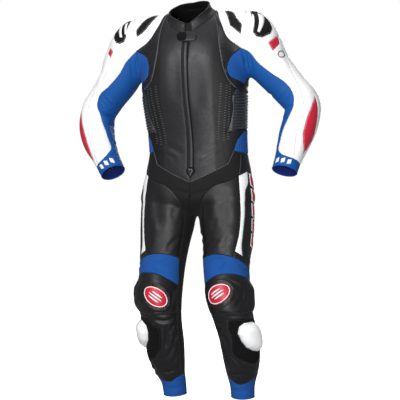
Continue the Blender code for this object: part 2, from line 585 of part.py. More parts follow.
def sew():
    """Every seam as points on the form, by the two junctions at its ends."""
    spots = {}
    for side, marks in ((0, MIDDLE), (-1, JUNCTIONS), (1, JUNCTIONS)):
        for name, point in zip(marks, place(list(marks.values()), side or 1)):
            spots[side, name] = point
    runs = []
    for side in (-1, 1):
        for seam in SEAMS:
            keys = [(0 if mark in MIDDLE else side, mark) if isinstance(mark, str) else None for mark in seam]
            marks = [mark for mark in seam if not isinstance(mark, str)]
            placed = iter(place(marks, side) if marks else [])
            points = np.array([spots[key] if key else next(placed) for key in keys])
            key = np.r_[0, np.cumsum(np.linalg.norm(np.diff(points, axis=0), axis=1))]
            stops = [i for i, k in enumerate(keys) if k]
            for a, b in zip(stops[:-1], stops[1:]):
                fine = np.linspace(key[a], key[b], 2 + int((key[b] - key[a]) / 4))
                if len(points) > 2:
                    line = np.stack([smooth_read(key, column, fine) for column in points.T], 1)
                else:
                    line = points[0] + (points[1] - points[0]) * (fine / key[-1])[:, None]
                runs.append(((keys[a], keys[b]), line, points[a], points[b]))
    lines = [even(line) for line in settle_all([line for _, line, _, _ in runs], 3)]
    edges = {}
    for (ends, _, start, end), line in zip(runs, settle_all(lines, 2)):
        line[0], line[-1] = start, end
        edges[ends] = line
        edges.setdefault(ends[::-1], line[::-1])
    return edges


def settle_all(lines, rounds):
    """Settle many lines at once."""
    stops = np.cumsum([len(line) for line in lines])[:-1]
    return np.split(settle(np.concatenate(lines), rounds), stops)


def even(line):
    """A line in equal stretches, short enough for its length and its turns."""
    run = np.r_[0, np.cumsum(np.linalg.norm(np.diff(line, axis=0), axis=1))]
    way = np.diff(line[::2], axis=0) if len(line) > 4 else np.diff(line, axis=0)
    way = way / np.linalg.norm(way, axis=1)[:, None]
    turn = np.degrees(np.arccos(np.clip((way[1:] * way[:-1]).sum(1), -1, 1))).sum()
    count = int(max(1, np.ceil(run[-1] / SEAM_STEP), np.ceil(turn / SEAM_TURN)))
    marks = np.linspace(0, run[-1], count + 1)
    return np.stack([np.interp(marks, run, column) for column in line.T], 1)


def pad_lines():
    """Lines of the swells and folds with their width and rise."""
    rows = []
    for side in (-1, 1):
        for marks, width, rise in SWELLS:
            rows.append((place(marks, side), width, rise))
        for panel, marks, width, rise in FOLDS:
            if side > 0 or dict((row[0], row[1]) for row in PANELS)[panel] == "each":
                rows.append((place(marks, side), width, rise))
    return rows


def swell(p, rows):
    """How far pads push the cloth out and folds draw it in at each point."""
    total = np.zeros(len(p))
    for line, width, rise in rows:
        near = np.full(len(p), 1e9)
        for a, b in zip(line[:-1], line[1:]):
            along = np.clip((p - a) @ (b - a) / ((b - a) @ (b - a)), 0, 1)
            near = np.minimum(near, np.linalg.norm(p - a - along[:, None] * (b - a), axis=1))
        share = np.clip(1 - (near / width) ** 2, 0, 1)
        total += rise * share ** 2
    return total


def within(loop, p):
    """Which flat points lie inside a closed flat loop."""
    a, b = loop, np.roll(loop, -1, axis=0)
    x, y = p[:, :1], p[:, 1:]
    spans = (a[None, :, 1] > y) != (b[None, :, 1] > y)
    cross = a[None, :, 0] + (y - a[None, :, 1]) * (b - a)[None, :, 0] / np.where(spans, (b - a)[None, :, 1], 1)
    return (spans & (x < cross)).sum(1) % 2 == 1


def clearance(loop, p):
    """Distance from flat points to a closed flat loop."""
    near = np.full(len(p), 1e9)
    for a, b in zip(loop, np.roll(loop, -1, axis=0)):
        along = np.clip((p - a) @ (b - a) / max((b - a) @ (b - a), 1e-9), 0, 1)
        near = np.minimum(near, np.linalg.norm(p - a - along[:, None] * (b - a), axis=1))
    return near


def hex_grid(loop, step):
    low, high = loop.min(0), loop.max(0)
    rows = np.arange(low[1] + step * 0.45, high[1], step * 0.87)
    spots = [(x, y) for i, y in enumerate(rows) for x in np.arange(low[0] + step * (0.5 + i % 2 / 2), high[0], step)]
    return np.array(spots, float).reshape(-1, 2)


def inlay_outline(rows, radius):
    """An inlay's outline as angles and heights, cut into short stretches."""
    if rows[0] == "oval":
        _, a, h, long, short, tilt = rows
        turn = np.radians(np.arange(0, 360, 24))
        x, y = long * np.cos(turn), short * np.sin(turn)
        lean = np.radians(tilt)
        x, y = x * np.cos(lean) - y * np.sin(lean), x * np.sin(lean) + y * np.cos(lean)
        return [(a + np.degrees(u / radius), h + v) for u, v in zip(x, y)]
    outline = []
    for (a, h), (b, k) in zip(rows, rows[1:] + rows[:1]):
        count = int(np.ceil(np.hypot(np.radians(b - a) * radius, k - h) / 24))
        outline += [(a + (b - a) * t / count, h + (k - h) * t / count) for t in range(count)]
    return outline


def triangulate(flat, edges, rim, name):
    """Triangles over flat points inside a rim, along the edges given."""
    made = delaunay_2d_cdt([Vector(spot) for spot in flat], edges, [], 0, 1e-5, True)
    if len(made[0]) != len(flat):
        raise ValueError(f"seams of {name} cross: {len(flat)} points became {len(made[0])}")
    tris = np.array([[made[3][i][0] for i in face] for face in made[2]])
    return tris[within(rim, flat[tris].mean(1))]


RADIUS = {"T": 150.0, "N": 80.0, "L": 82.0, "A": 60.0}


class Panel:
    """One panel in its flat chart: seam points round it, inlay outlines, points inside."""

    def __init__(self, row, side, edges):
        self.name, halves, self.kind, self.wall, self.slot, self.grid, loop = row
        self.side = side
        self.form = form_of(self.kind, side)
        radius = RADIUS[self.kind]
        self.squeeze = 5.0 if self.name in RIBS else 1.0
        names = loop.split()
        if halves == "both":
            keys = [(0 if n in MIDDLE else 1, n) for n in names]
            keys += [(0 if n in MIDDLE else -1, n) for n in names[::-1] if n not in MIDDLE or
                     n not in (names[0], names[-1])]
        else:
            keys = [(0 if n in MIDDLE else side, n) for n in names]
        rim = np.concatenate([edges[a, b][:-1] for a, b in zip(keys, keys[1:] + keys[:1])])
        turn, height = self.form.read(side, rim)
        turn = np.degrees(np.unwrap(np.radians(turn)))
        self.middle = turn.mean()
        self.flat = [self.lay(turn, height, radius)]
        self.points = [rim]
        self.loops = []
        self.add_inlays(radius)
        self.add_inside(radius)
        self.cut()

    def lay(self, turn, height, radius):
        return np.stack([np.radians(turn) * radius / self.squeeze, height], 1)

    def near(self, turn):
        return turn + 360 * np.round((self.middle - turn) / 360)

    def add_inlays(self, radius):
        names = [self.name]
        for row in INLAYS:
            name, side, panel, way, wall, slot, grid, outline = row
            if panel in names and side in (0, self.side):
                names.append(name)
                spots = inlay_outline(outline, radius)
                points = place([(self.kind, a, h) for a, h in spots], self.side)
                turn, height = np.array(spots, float).T
                self.loops.append((row, self.lay(self.near(turn), height, radius)))
                self.flat.append(self.loops[-1][1])
                self.points.append(points)

    def add_inside(self, radius):
        rim = self.flat[0]
        if self.name in RIBS:
            spots = self.rib_spots(radius)
            gap = 2.5
            self.fold_count = 0
        else:
            folds = self.fold_spots(radius)
            gap = 0.5 * self.grid
            for line in folds:
                keep = within(rim, line) & (clearance(rim, line) > 0.3 * self.grid)
                self.flat.append(line[keep])
            folds = np.concatenate([line for line in self.flat[1 + len(self.loops):]] + [np.zeros((0, 2))])
            spots = hex_grid(rim, self.grid)
            if len(folds):
                far = np.linalg.norm(spots[:, None] - folds[None], axis=2).min(1)
                spots = spots[far > 0.62 * self.grid]
            self.fold_count = len(folds)
        spots = spots[within(rim, spots) & (clearance(rim, spots) > gap)]
        for row, loop in self.loops:
            step = row[6]
            spots = spots[~(within(loop, spots) | (clearance(loop, spots) < 0.45 * step))]
        for i, (row, loop) in enumerate(self.loops):
            fine = hex_grid(loop, row[6])
            fine = fine[within(loop, fine) & (clearance(loop, fine) > 0.42 * row[6])]
            for other, inner in self.loops[i + 1:]:
                if other[2] == row[0]:
                    fine = fine[~(within(inner, fine) | (clearance(inner, fine) < 0.4 * row[6]))]
            self.flat.append(fine)
        self.flat.append(spots)
        turn, height = np.concatenate(self.flat[1 + len(self.loops):]).T
        turn = np.degrees(turn * self.squeeze / radius)
        marks = [(self.kind, a, h) for a, h in zip(turn, height)]
        self.points.append(place(marks, self.side) if marks else np.zeros((0, 3)))

    def rib_spots(self, radius):
        top, low, drop, inner, outer, pitch, rise, columns = RIBS[self.name]
        spots = []
        for k in range(int(round((top - low) / pitch * 2)) + 2):
            for a in np.linspace(inner, outer, columns):
                spots.append((a, top - k * pitch / 2 - drop * (outer - a) / (outer - inner)))
        turn, height = np.array(spots).T
        return self.lay(turn, height, radius)

    def fold_spots(self, radius):
        lines = []
        for panel, marks, width, rise in FOLDS:
            if panel == self.name:
                turn = self.near(np.array([float(a) for _, a, _ in marks]))
                if len(turn) > 1:
                    turn = np.degrees(np.unwrap(np.radians(turn)))
                line = self.lay(turn, np.array([float(h) for _, _, h in marks]), radius)
                run = np.r_[0, np.cumsum(np.linalg.norm(np.diff(line, axis=0), axis=1))]
                count = max(2, int(round(run[-1] / 26)) + 1)
                spine = np.stack([np.interp(np.linspace(0, run[-1], count), run, c) for c in line.T], 1)
                across = np.gradient(spine, axis=0)[:, ::-1] * [-1, 1]
                across = across / np.linalg.norm(across, axis=1)[:, None]
                lines += [spine, spine + across * width * 0.8, spine - across * width * 0.8]
        return lines

    def cut(self):
        """Triangles over all points, with seams and inlay outlines kept as edges."""
        flat = np.concatenate(self.flat)
        edges, at = [], 0
        for loop in self.flat[:1 + len(self.loops)]:
            edges += [(at + i, at + (i + 1) % len(loop)) for i in range(len(loop))]
            at += len(loop)
        self.fixed = at + self.fold_count
        self.tris = triangulate(flat, edges, self.flat[0], f"{self.name} {self.side}")
        self.p = np.concatenate(self.points)
        if self.name not in RIBS:
            self.relax()
        self.out = slope(self.p, SOFT_REACH)[0]
        a, b, c = self.p[self.tris].transpose(1, 0, 2)
        facing = (np.cross(b - a, c - a) * self.out[self.tris].mean(1)).sum()
        if facing < 0:
            self.tris = self.tris[:, ::-1]
        self.spots = flat
        self.centres = flat[self.tris].mean(1)

    def relax(self, rounds=8):
        """Spread the points inside evenly over the form."""
        links = np.concatenate([self.tris[:, [0, 1]], self.tris[:, [1, 2]], self.tris[:, [2, 0]]])
        links = np.unique(np.sort(links, axis=1), axis=0)
        free = np.arange(len(self.p)) >= self.fixed
        for _ in range(rounds):
            total, count = np.zeros_like(self.p), np.zeros(len(self.p))
            for a, b in (links.T, links.T[::-1]):
                np.add.at(total, a, self.p[b])
                np.add.at(count, a, 1)
            mean = total / np.maximum(count, 1)[:, None]
            self.p[free] = settle(0.5 * self.p[free] + 0.5 * mean[free], 1)
        self.p[free] = settle(self.p[free], 3)


# ---------------------------------------------------------------------- walls
def ribs(panel):
    """Ribs across a stretch piece, raised at every second row of its points."""
    top, low, drop, inner, outer, pitch, rise, columns = RIBS[panel.name]
    turn, height = np.degrees(panel.spots[:, 0] * panel.squeeze / RADIUS[panel.kind]), panel.spots[:, 1]
    count = (top - drop * (outer - turn) / (outer - inner) - height) / (pitch / 2)
    raised = rise * (1 - np.abs(count % 2 - 1))
    raised[:panel.fixed] = 0
    return raised


def cup_lip(panel):
    """The lower edge of the moulded knee cup stands proud of the shin."""
    turn, height = np.degrees(panel.spots[:, 0] / RADIUS[panel.kind]), panel.spots[:, 1]
    near = np.clip(1 - (height + 1038) / 42, 0, 1)
    return CUP_LIP * near * np.clip((turn + 70) / 22, 0, 1) * np.clip((110 - turn) / 22, 0, 1)


def guard(panel):
    """A low ridge down the middle of the zip strip."""
    raised = np.full(len(panel.p), ZIP_GUARD)
    raised[:panel.fixed] = 0
    return raised


RAISED = {"side_rib": ribs, "waist_side": ribs, "knee_cup": cup_lip, "front_zip": guard}


def wall(p, out, tris, inner, outer):
    """A closed wall over some triangles, between two distances out from the form."""
    sides = {}
    for a, b, c in tris:
        for edge in ((a, b), (b, c), (c, a)):
            sides[edge] = sides.get(edge, 0) + 1
    rim = [edge for edge in sides if edge[::-1] not in sides]
    inset = {}
    for a, b in rim:
        way = np.cross(out[a] + out[b], p[b] - p[a])
        way /= np.linalg.norm(way)
        for v in (a, b):
            inset.setdefault(v, []).append(way)
    used = sorted(set(tris.ravel()))
    at = {v: i for i, v in enumerate(used)}
    base = p[used].copy()
    for v, ways in inset.items():
        if len(ways) != 2:
            raise ValueError("a piece touches itself at a point")
        base[at[v]] += (ways[0] + ways[1]) / max(1 + ways[0] @ ways[1], 0.15) * SEAM_GAP / 2
    n = len(used)
    verts = np.concatenate([base + out[used] * inner[used][:, None], base + out[used] * outer[used][:, None]])
    faces = [(at[a] + n, at[b] + n, at[c] + n) for a, b, c in tris]
    faces += [(at[c], at[b], at[a]) for a, b, c in tris]
    flat_from = len(faces)
    for a, b in rim:
        i, j = at[a], at[b]
        if tuple(p[a]) < tuple(p[b]):
            faces += [(j + n, i + n, i), (j + n, i, j)]
        else:
            faces += [(j + n, i + n, j), (i + n, i, j)]
    return verts, faces, flat_from


def pieces(panel, pads):
    """The walls of a panel and of everything set into it or sewn on it."""
    tail = {0: "", -1: "_r", 1: "_l"}[0 if panel.name in ("collar", "front_zip", "back_panel") else panel.side]
    lift = swell(panel.p, pads)
    raised = RAISED[panel.name](panel) if panel.name in RAISED else 0
    top = lift + panel.wall + raised
    left = np.ones(len(panel.tris), bool)
    for row, loop in panel.loops:
        if row[3] == "cut":
            left &= ~within(loop, panel.centres)
    yield panel.name + tail, panel.slot, wall(panel.p, panel.out, panel.tris[left], lift, top)
    for row, loop in panel.loops:
        name, _, _, way, thick, slot, _, _ = row
        tris = panel.tris[within(loop, panel.centres)]
        inner = lift if way == "cut" else top + SEAM_GAP
        outer = inner + thick
        if name == "slider_puck":
            inside = np.where(within(loop, panel.spots), clearance(loop, panel.spots), 0)
            outer = outer + PUCK_DOME * (1 - (1 - np.clip(inside / 30, 0, 1)) ** 2)
        yield name + tail, slot, wall(panel.p, panel.out, tris, inner, outer)
        covered = np.unique(tris)
        top = top.copy()
        top[covered] = outer[covered]


def closure_tab():
    """The closure tab across the zip, on its own even points over the form."""
    rim = []
    for (x, z), (u, w) in zip(TAB_EDGES, TAB_EDGES[1:] + TAB_EDGES[:1]):
        count = int(np.ceil(np.hypot(u - x, w - z) / 20))
        rim += [(x + (u - x) * t / count, z + (w - z) * t / count) for t in range(count)]
    rim = np.array(rim)
    inside = hex_grid(rim, 20)
    inside = inside[within(rim, inside) & (clearance(rim, inside) > 9)]
    flat = np.concatenate([rim, inside])
    edges = [(i, (i + 1) % len(rim)) for i in range(len(rim))]
    tris = triangulate(flat, edges, rim, "the closure tab")
    p = place([("F", x, z) for x, z in flat], 1)
    out = slope(p, SOFT_REACH)[0]
    a, b, c = p[tris].transpose(1, 0, 2)
    if (np.cross(b - a, c - a) * out[tris[:, 0]]).sum() < 0:
        tris = tris[:, ::-1]
    lift = np.full(len(p), TAB_LIFT)
    return wall(p, out, tris, lift, lift + LEATHER)


# ---------------------------------------------------------------------- build
def clear_scene():
    for old in list(bpy.data.objects):
        bpy.data.objects.remove(old, do_unlink=True)


def finish(slot):
    colour, roughness, metallic = SLOTS[slot]
    made = bpy.data.materials.get(slot)
    if made is None:
        made = bpy.data.materials.new(slot)
        made.use_nodes = True
        shader = made.node_tree.nodes["Principled BSDF"]
        shader.inputs["Base Color"].default_value = (*colour, 1)
        shader.inputs["Roughness"].default_value = roughness
        shader.inputs["Metallic"].default_value = metallic
    return made


def add_piece(name, slot, made):
    verts, faces, flat_from = made
    mesh = bpy.data.meshes.new(name)
    mesh.from_pydata([tuple(v) for v in verts * MM], [], [tuple(int(i) for i in face) for face in faces])
    mesh.polygons.foreach_set("use_smooth", [i < flat_from for i in range(len(faces))])
    mesh.materials.append(finish(slot))
    piece = bpy.data.objects.new(name, mesh)
    bpy.context.scene.collection.objects.link(piece)


def main():
    clear_scene()
    edges = sew()
    pads = pad_lines()
    for row in PANELS:
        for side in ((1,) if row[1] == "both" else (-1, 1)):
            for name, slot, made in pieces(Panel(row, side, edges), pads):
                add_piece(name, slot, made)
    add_piece("collar_tab", "black_leather", closure_tab())


main()
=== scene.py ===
"""Looks of a one-piece motorcycle race suit: leather and stretch cloth, held in its worn shape.

Every piece is a thin closed wall over the same smooth body form as its solid, cut much
finer, with its seams, stitches, creases, ribs, zip and trims. Sizes are millimetres.

The suit faces -Y, the wearer's left is +X and up is +Z.
"""

import math

import bpy
import numpy as np
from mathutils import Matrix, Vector
from mathutils.geometry import delaunay_2d_cdt
from mathutils.kdtree import KDTree


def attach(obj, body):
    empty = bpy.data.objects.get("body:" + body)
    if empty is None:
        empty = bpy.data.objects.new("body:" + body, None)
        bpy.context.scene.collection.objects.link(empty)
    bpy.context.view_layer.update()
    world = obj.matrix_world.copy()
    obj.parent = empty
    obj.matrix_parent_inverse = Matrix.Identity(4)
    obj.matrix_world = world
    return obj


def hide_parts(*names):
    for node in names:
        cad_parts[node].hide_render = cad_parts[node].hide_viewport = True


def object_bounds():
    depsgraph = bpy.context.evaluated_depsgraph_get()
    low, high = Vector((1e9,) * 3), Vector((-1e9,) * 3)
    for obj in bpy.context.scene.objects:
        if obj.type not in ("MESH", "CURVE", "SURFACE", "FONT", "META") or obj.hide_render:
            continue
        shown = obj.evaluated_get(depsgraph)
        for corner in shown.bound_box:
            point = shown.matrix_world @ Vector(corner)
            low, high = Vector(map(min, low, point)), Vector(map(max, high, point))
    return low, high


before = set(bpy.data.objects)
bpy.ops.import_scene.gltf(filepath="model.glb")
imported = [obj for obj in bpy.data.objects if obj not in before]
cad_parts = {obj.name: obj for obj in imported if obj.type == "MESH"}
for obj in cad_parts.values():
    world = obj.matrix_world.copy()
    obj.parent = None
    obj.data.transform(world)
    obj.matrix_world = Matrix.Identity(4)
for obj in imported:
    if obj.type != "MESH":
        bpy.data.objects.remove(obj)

CAD_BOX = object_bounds()
MM = 0.001

# ---- driving sizes
LEATHER = 1.6            # wall thickness of a leather piece
STRETCH = 1.4            # wall thickness of a stretch cloth piece
PUCK_WALL = 3.0          # wall thickness of a slider puck
SEAM_GAP = 0.3           # gap between two pieces at a seam, and under what lies on one
CLOTH_STEP = 7.0    # spacing of a panel's points
SEAM_STEP = 6.5     # spacing of points along a seam
# Panels whose small forms need closer points
FINE = {"front_zip": 3.2, "collar": 5.0, "knee_cup": 4.5, "knee_band": 4.0, "shin": 5.5, "gusset": 5.0,
        "sleeve_inner": 5.0}
SEAM_ROLL = 7.0          # how far from a seam the cloth starts to roll down into it
SEAM_SINK = 0.9          # how deep it sinks at the seam
DEEPEST = -3.5           # how far a crease may take the outer face below the body form
TABLE_STEP = 6.0         # spacing at which section tables are read
HIP_BLEND = 26.0         # how softly the legs run into the torso
CROTCH_BLEND = 14.0
NECK_BLEND = 34.0
ARM_BLEND = 42.0
TAILS = {-1: "_r", 1: "_l"}             # ends of the names of pieces that come in pairs

def read_rows(text):
    """The words of each row of a table; rows that start with # only head a group."""
    return [row.split() for row in text.splitlines() if row and row[0] != "#"]


def read_sizes(text):
    """Rows of sizes of a table."""
    return [tuple(map(float, row)) for row in read_rows(text)]


# Cross-sections of the torso: height, middle across and ahead, half width,
# depth in front and behind, squareness (2 is an ellipse)
TORSO_SECTIONS = read_sizes("""
# z, x, y, half, front, back, square
40 0 28 40 34 34 2.0
10 0 26 90 58 60 2.0
-25 1 22 138 80 78 2.1
-70 3 18 172 100 94 2.2
-120 5 16 184 114 106 2.3
-200 7 16 189 120 114 2.4
-280 8 18 187 116 112 2.4
-350 11 24 182 106 104 2.35
-420 14 32 177 98 96 2.3
-480 15 38 178 98 98 2.3
-540 13 43 189 102 110 2.3
-600 9 47 197 102 120 2.3
-643 6 50 190 92 116 2.25
-668 6 50 150 60 90 2.1
-684 6 50 60 30 40 2.0
""")

# Cross-sections of a leg: height, middle across of the right and the left leg,
# middle ahead, half width, depth in front and behind, squareness
LEG_SECTIONS = read_sizes("""
# z, x right, x left, y, half, front, back, square
-440 -88 104 42 30 30 30 2.0
-540 -92 108 47 68 60 74 2.1
-640 -97 113 50 96 92 106 2.1
-721 -103 116 50 94 97 104 2.1
-790 -110 122 42 86 92 92 2.1
-862 -114 121 26 80 88 82 2.1
-930 -116 129 10 78 88 76 2.1
-1004 -117 140 2 75 84 72 2.1
-1060 -114 153 8 70 72 72 2.1
-1145 -111 167 36 67 64 74 2.1
-1210 -112 166 66 62 60 70 2.1
-1265 -108 161 94 52 52 56 2.0
-1300 -100 158 110 43 46 49 2.0
-1336 -98 157 120 41 45 48 2.0
-1400 -98 157 130 41 45 48 2.0
""")

# Sections square to an arm's axis, from the neck over the shoulder to the wrist.
# The left arm hangs a little wider and higher than the right one.
ARM_SECTIONS = read_sizes("""
# x right, z right, x left, z left, y, half, front, back, square
-12 -46 14 -42 26 50 50 52 2.0
-60 -44 60 -38 26 58 58 60 2.0
-130 -48 134 -42 24 74 74 76 2.0
-202 -80 205 -64 24 88 84 84 2.1
-248 -136 244 -112 26 80 82 80 2.1
-282 -202 282 -172 30 69 74 72 2.1
-332 -268 344 -244 38 61 66 66 2.1
-366 -318 390 -306 44 60 64 64 2.15
-370 -366 386 -362 34 60 60 62 2.15
-350 -424 372 -424 6 56 54 55 2.1
-314 -480 359 -482 -26 46 46 46 2.05
-278 -534 349 -532 -52 42.5 41 41 2.0
-252 -578 341 -576 -72 42.5 41 41 2.0
""")

# The neck is a short column that leans forward, as a rider's does
NECK_BOTTOM = (10, 50, -62)
NECK_TOP = (-5, -26, 61)
NECK_HALF = (84, 68)      # at its bottom and at its top
NECK_DEPTH = (80, 62)


# ---- body form
def smooth_read(key, column, fine):
    """Values of a column along the smooth curve through it."""
    i = np.clip(np.searchsorted(key, fine, side="right") - 1, 0, len(key) - 2)
    gap = key[i + 1] - key[i]
    t = (fine - key[i]) / gap
    lean = np.gradient(column, key)
    return ((2 * t**3 - 3 * t**2 + 1) * column[i] + (t**3 - 2 * t**2 + t) * gap * lean[i]
            + (3 * t**2 - 2 * t**3) * column[i + 1] + (t**3 - t**2) * gap * lean[i + 1])


def smooth_table(rows, step=TABLE_STEP):
    """Rows sorted by their first column, read along smooth curves every step."""
    rows = np.array(rows, float)
    rows = rows[np.argsort(rows[:, 0])]
    key = rows[:, 0]
    fine = np.arange(key[0], key[-1] + step / 2, step)
    return np.array([fine] + [smooth_read(key, column, fine) for column in rows.T[1:]])


def read_table(table, key):
    """Values of every column at some keys."""
    return [np.interp(key, table[0], column) for column in table[1:]]


def ring(across, ahead, half, front, back, square):
    """How far a point lies outside a section, along the line from its middle."""
    deep = np.where(ahead >= 0, front, back)
    far = np.hypot(across, ahead) + 1e-9
    share = ((np.abs(across) / half) ** square + (np.abs(ahead) / deep) ** square) ** (1 / square)
    return far - far / np.maximum(share, 1e-6)


def blend(a, b, width):
    """The union of two forms with a soft fillet between them."""
    mix = np.clip(0.5 + 0.5 * (b - a) / width, 0, 1)
    return b + (a - b) * mix - width * mix * (1 - mix)


def unit(ways):
    """Directions at a length of one."""
    return ways / np.linalg.norm(ways, axis=1)[:, None]


class Column:
    """A form with level cross-sections, read by height.

    On any form, field is the distance outside it, cast gives the line that leaves its axis
    at an angle, and read gives the angle and the height or station of points."""

    def __init__(self, rows):
        self.table = smooth_table(rows)

    def middle(self, h):
        x, y = read_table(self.table[:3], h)
        return np.stack([x, y, h], 1)

    def field(self, p):
        x, y, half, front, back, square = read_table(self.table, p[:, 2])
        past = np.maximum(p[:, 2] - self.table[0, -1], self.table[0, 0] - p[:, 2])
        return np.maximum(ring(p[:, 0] - x, y - p[:, 1], half, front, back, square), past)

    def cast(self, side, angle, h):
        turn = np.radians(angle)
        way = np.stack([side * np.sin(turn), -np.cos(turn), 0 * turn], 1)
        return self.middle(h), way

    def read(self, side, p):
        off = p - self.middle(p[:, 2])
        return np.degrees(np.arctan2(side * off[:, 0], -off[:, 1])), p[:, 2]


class Limb:
    """A form along a bent axis; rows hold x, y, z and the section's sizes."""

    def __init__(self, stations, rows, side):
        table = smooth_table(np.c_[stations, rows])
        self.h = table[0]
        self.axis = table[1:4].T
        self.sizes = table[4:]
        self.tangent = unit(np.gradient(self.axis, self.h, axis=0))
        self.bend = np.gradient(self.tangent, self.h, axis=0)
        self.ahead = unit(self.tangent * self.tangent[:, 1:2] - np.array([0, 1.0, 0]))
        across = np.cross(self.tangent, self.ahead)
        self.across = across * np.sign(across[len(across) // 2, 0] * side)

    def at(self, table, h):
        """Rows of a table read along the axis."""
        return np.stack([np.interp(h, self.h, column) for column in table.T], 1)

    def station(self, p):
        """Where along the axis the nearest point to each p lies."""
        h = np.zeros(len(p))
        for i in range(0, len(p), 20000):
            q = p[i:i + 20000]
            h[i:i + 20000] = self.h[((self.axis ** 2).sum(1)[None] - 2 * q @ self.axis.T).argmin(1)]
        for _ in range(4):
            off = p - self.at(self.axis, h)
            slide = (off * self.at(self.tangent, h)).sum(1)
            ease = np.maximum(1 - (off * self.at(self.bend, h)).sum(1), 0.25)
            h = np.clip(h + np.clip(slide / ease, -9, 9), self.h[0], self.h[-1])
        return h

    def local(self, p):
        """Stations of points, and how far each lies along, across and ahead of the axis there."""
        h = self.station(p)
        off = p - self.at(self.axis, h)
        return h, *((off * self.at(way, h)).sum(1) for way in (self.tangent, self.across, self.ahead))

    def field(self, p):
        h, past, across, ahead = self.local(p)
        return ring(across, ahead, *(np.interp(h, self.h, column) for column in self.sizes)) + np.abs(past)

    def cast(self, side, angle, h):
        turn = np.radians(angle)[:, None]
        way = np.sin(turn) * self.at(self.across, h) + np.cos(turn) * self.at(self.ahead, h)
        return self.at(self.axis, h), way

    def read(self, side, p):
        h, _, across, ahead = self.local(p)
        return np.degrees(np.arctan2(across, ahead)), h


def leg_rows(side):
    """The sections of one leg."""
    return [(z, xr if side < 0 else xl, *rest) for z, xr, xl, *rest in LEG_SECTIONS]


def arm_rows(side):
    """The sections of one arm."""
    return [(*((xr, y, zr) if side < 0 else (xl, y, zl)), *size) for xr, zr, xl, zl, y, *size in ARM_SECTIONS]


def neck_rows():
    """Three even sections of the neck."""
    low, high = (np.array([*end, NECK_HALF[i], NECK_DEPTH[i], NECK_DEPTH[i], 2.0])
                 for i, end in enumerate((NECK_BOTTOM, NECK_TOP)))
    return [tuple(low + (high - low) * t) for t in (0, 0.5, 1)]


def steps_of(line):
    """Length of each step along a line of points."""
    return np.linalg.norm(np.diff(line, axis=0), axis=1)


def stations(*tables):
    """Distance along an axis at each row, as the mean of both sides' tables."""
    return np.r_[0, np.cumsum(np.mean([steps_of(np.array(rows)[:, :3]) for rows in tables], axis=0))]


TORSO = Column(TORSO_SECTIONS)
NECK = Limb(stations(neck_rows()), neck_rows(), 1)
LEGS = {side: Column(leg_rows(side)) for side in TAILS}
SLEEVE = stations(arm_rows(-1), arm_rows(1))
ARMS = {side: Limb(SLEEVE, arm_rows(side), side) for side in TAILS}


def body(p):
    """Distance outside the whole body form; it is nothing on the suit's inside."""
    form = blend(TORSO.field(p), NECK.field(p), NECK_BLEND)
    legs = blend(LEGS[-1].field(p), LEGS[1].field(p), CROTCH_BLEND)
    form = blend(form, legs, HIP_BLEND)
    for side in (-1, 1):
        form = blend(form, ARMS[side].field(p), ARM_BLEND)
    return form


def slope(p, reach=0.5):
    """Outward normals of the form, and its value."""
    value = body(p)
    rise = [body(p + reach * axis) - body(p - reach * axis) for axis in np.eye(3)]
    rise = np.stack(rise, 1) / (2 * reach)
    steep = np.linalg.norm(rise, axis=1)
    return rise / steep[:, None], value / steep


def settle(p, rounds=4):
    """Move points on to the form, square to it."""
    for _ in range(rounds):
        out, value = slope(p)
        p = p - out * np.clip(value, -25, 25)[:, None]
    return p


def leave(start, way, reach=340, step=5.0):
    """Where lines from inside the form first come out of it."""
    spots = np.arange(0, reach, step)
    p = start[:, None, :] + way[:, None, :] * spots[None, :, None]
    value = body(p.reshape(-1, 3)).reshape(len(start), -1)
    outside = value > 0
    outside[:, 0] = False
    first = np.maximum(outside.argmax(1), 1)
    low, high = spots[first - 1], spots[first]
    for _ in range(16):
        mid = (low + high) / 2
        out = body(start + way * mid[:, None]) > 0
        high = np.where(out, mid, high)
        low = np.where(out, low, mid)
    return start + way * ((low + high) / 2)[:, None]


# ---- seams
# A mark is a place on the form: a letter and two sizes, as T74,-223. T, L, A and N are the
# torso, a leg, an arm and the neck: the angle out from dead ahead towards the suit's side,
# then a height (T, L) or a station along the axis (A, N). F and B are the front and back of
# the torso: a distance out from its middle, then a height. C is the line between the legs:
# an angle that turns from ahead (0) down (90) to behind (180). P is the crown of the armpit
# at a distance behind the origin. Where the two sides differ, a stroke parts the right
# side's sizes from the left side's.
CROTCH_HEIGHT = -640


def read_marks(words):
    """Marks among a row's words as their letter and sizes; names of junctions stay."""
    return [(word[0], *map(float, word[1:].replace("/", ",").split(","))) if word[0].isupper() else word
            for word in words]


def read_junctions(text):
    """Marks by the names of their junctions."""
    words = sum(read_rows(text), [])
    return dict(zip(words[::2], read_marks(words[1::2])))


# Seam junctions of one half; the other half mirrors them on its own limbs
JUNCTIONS = read_junctions("""
# collar and zip
collar_top N8.3,97   collar_low N7.6,74   zip_low F11,-526
# round the neck
neck_princess A50,74/50,76   neck_yoke A75,80/84,73   neck_back N138,92/138,88
# armhole
hole_front A-22,204/-28,226   hole_top A98,160   hole_back A168,186   hole_low B195,-138   pit_back P58,0
pit_front P16,0
# torso
gusset_low T74,-223   chest_low T68,-248   side_high T118,-256   rib_low T58,-406   waist_high T92,-387
side_mid T118,-384   waist_low T67,-465   waist_hip T76,-470   side_low T118,-474   hip_front T59,-511
# hip and thigh
stripe_top_in L47,-552   stripe_top_out L73,-536   stripe_low_in L32,-815   stripe_low_out L54,-832
band_stripe L27,-834   seat_in L-112,-715   seat_out L118,-700
# knee
band_top_in L-58,-842   band_top_out L112,-888   band_low_in L-68,-938   band_low_out L113,-922
knee_in L-74,-1031   knee_out L115,-1026   knee_back_in L-112,-1034
# ankle and cuffs
ankle_in L-76,-1266   ankle_out L112,-1264   ankle_back L180,-1254   ankle_hem L180,-1342
wrist_in A-22,712   wrist_out A40,716   wrist_back A165,716   wrist_hem A165,754
""")

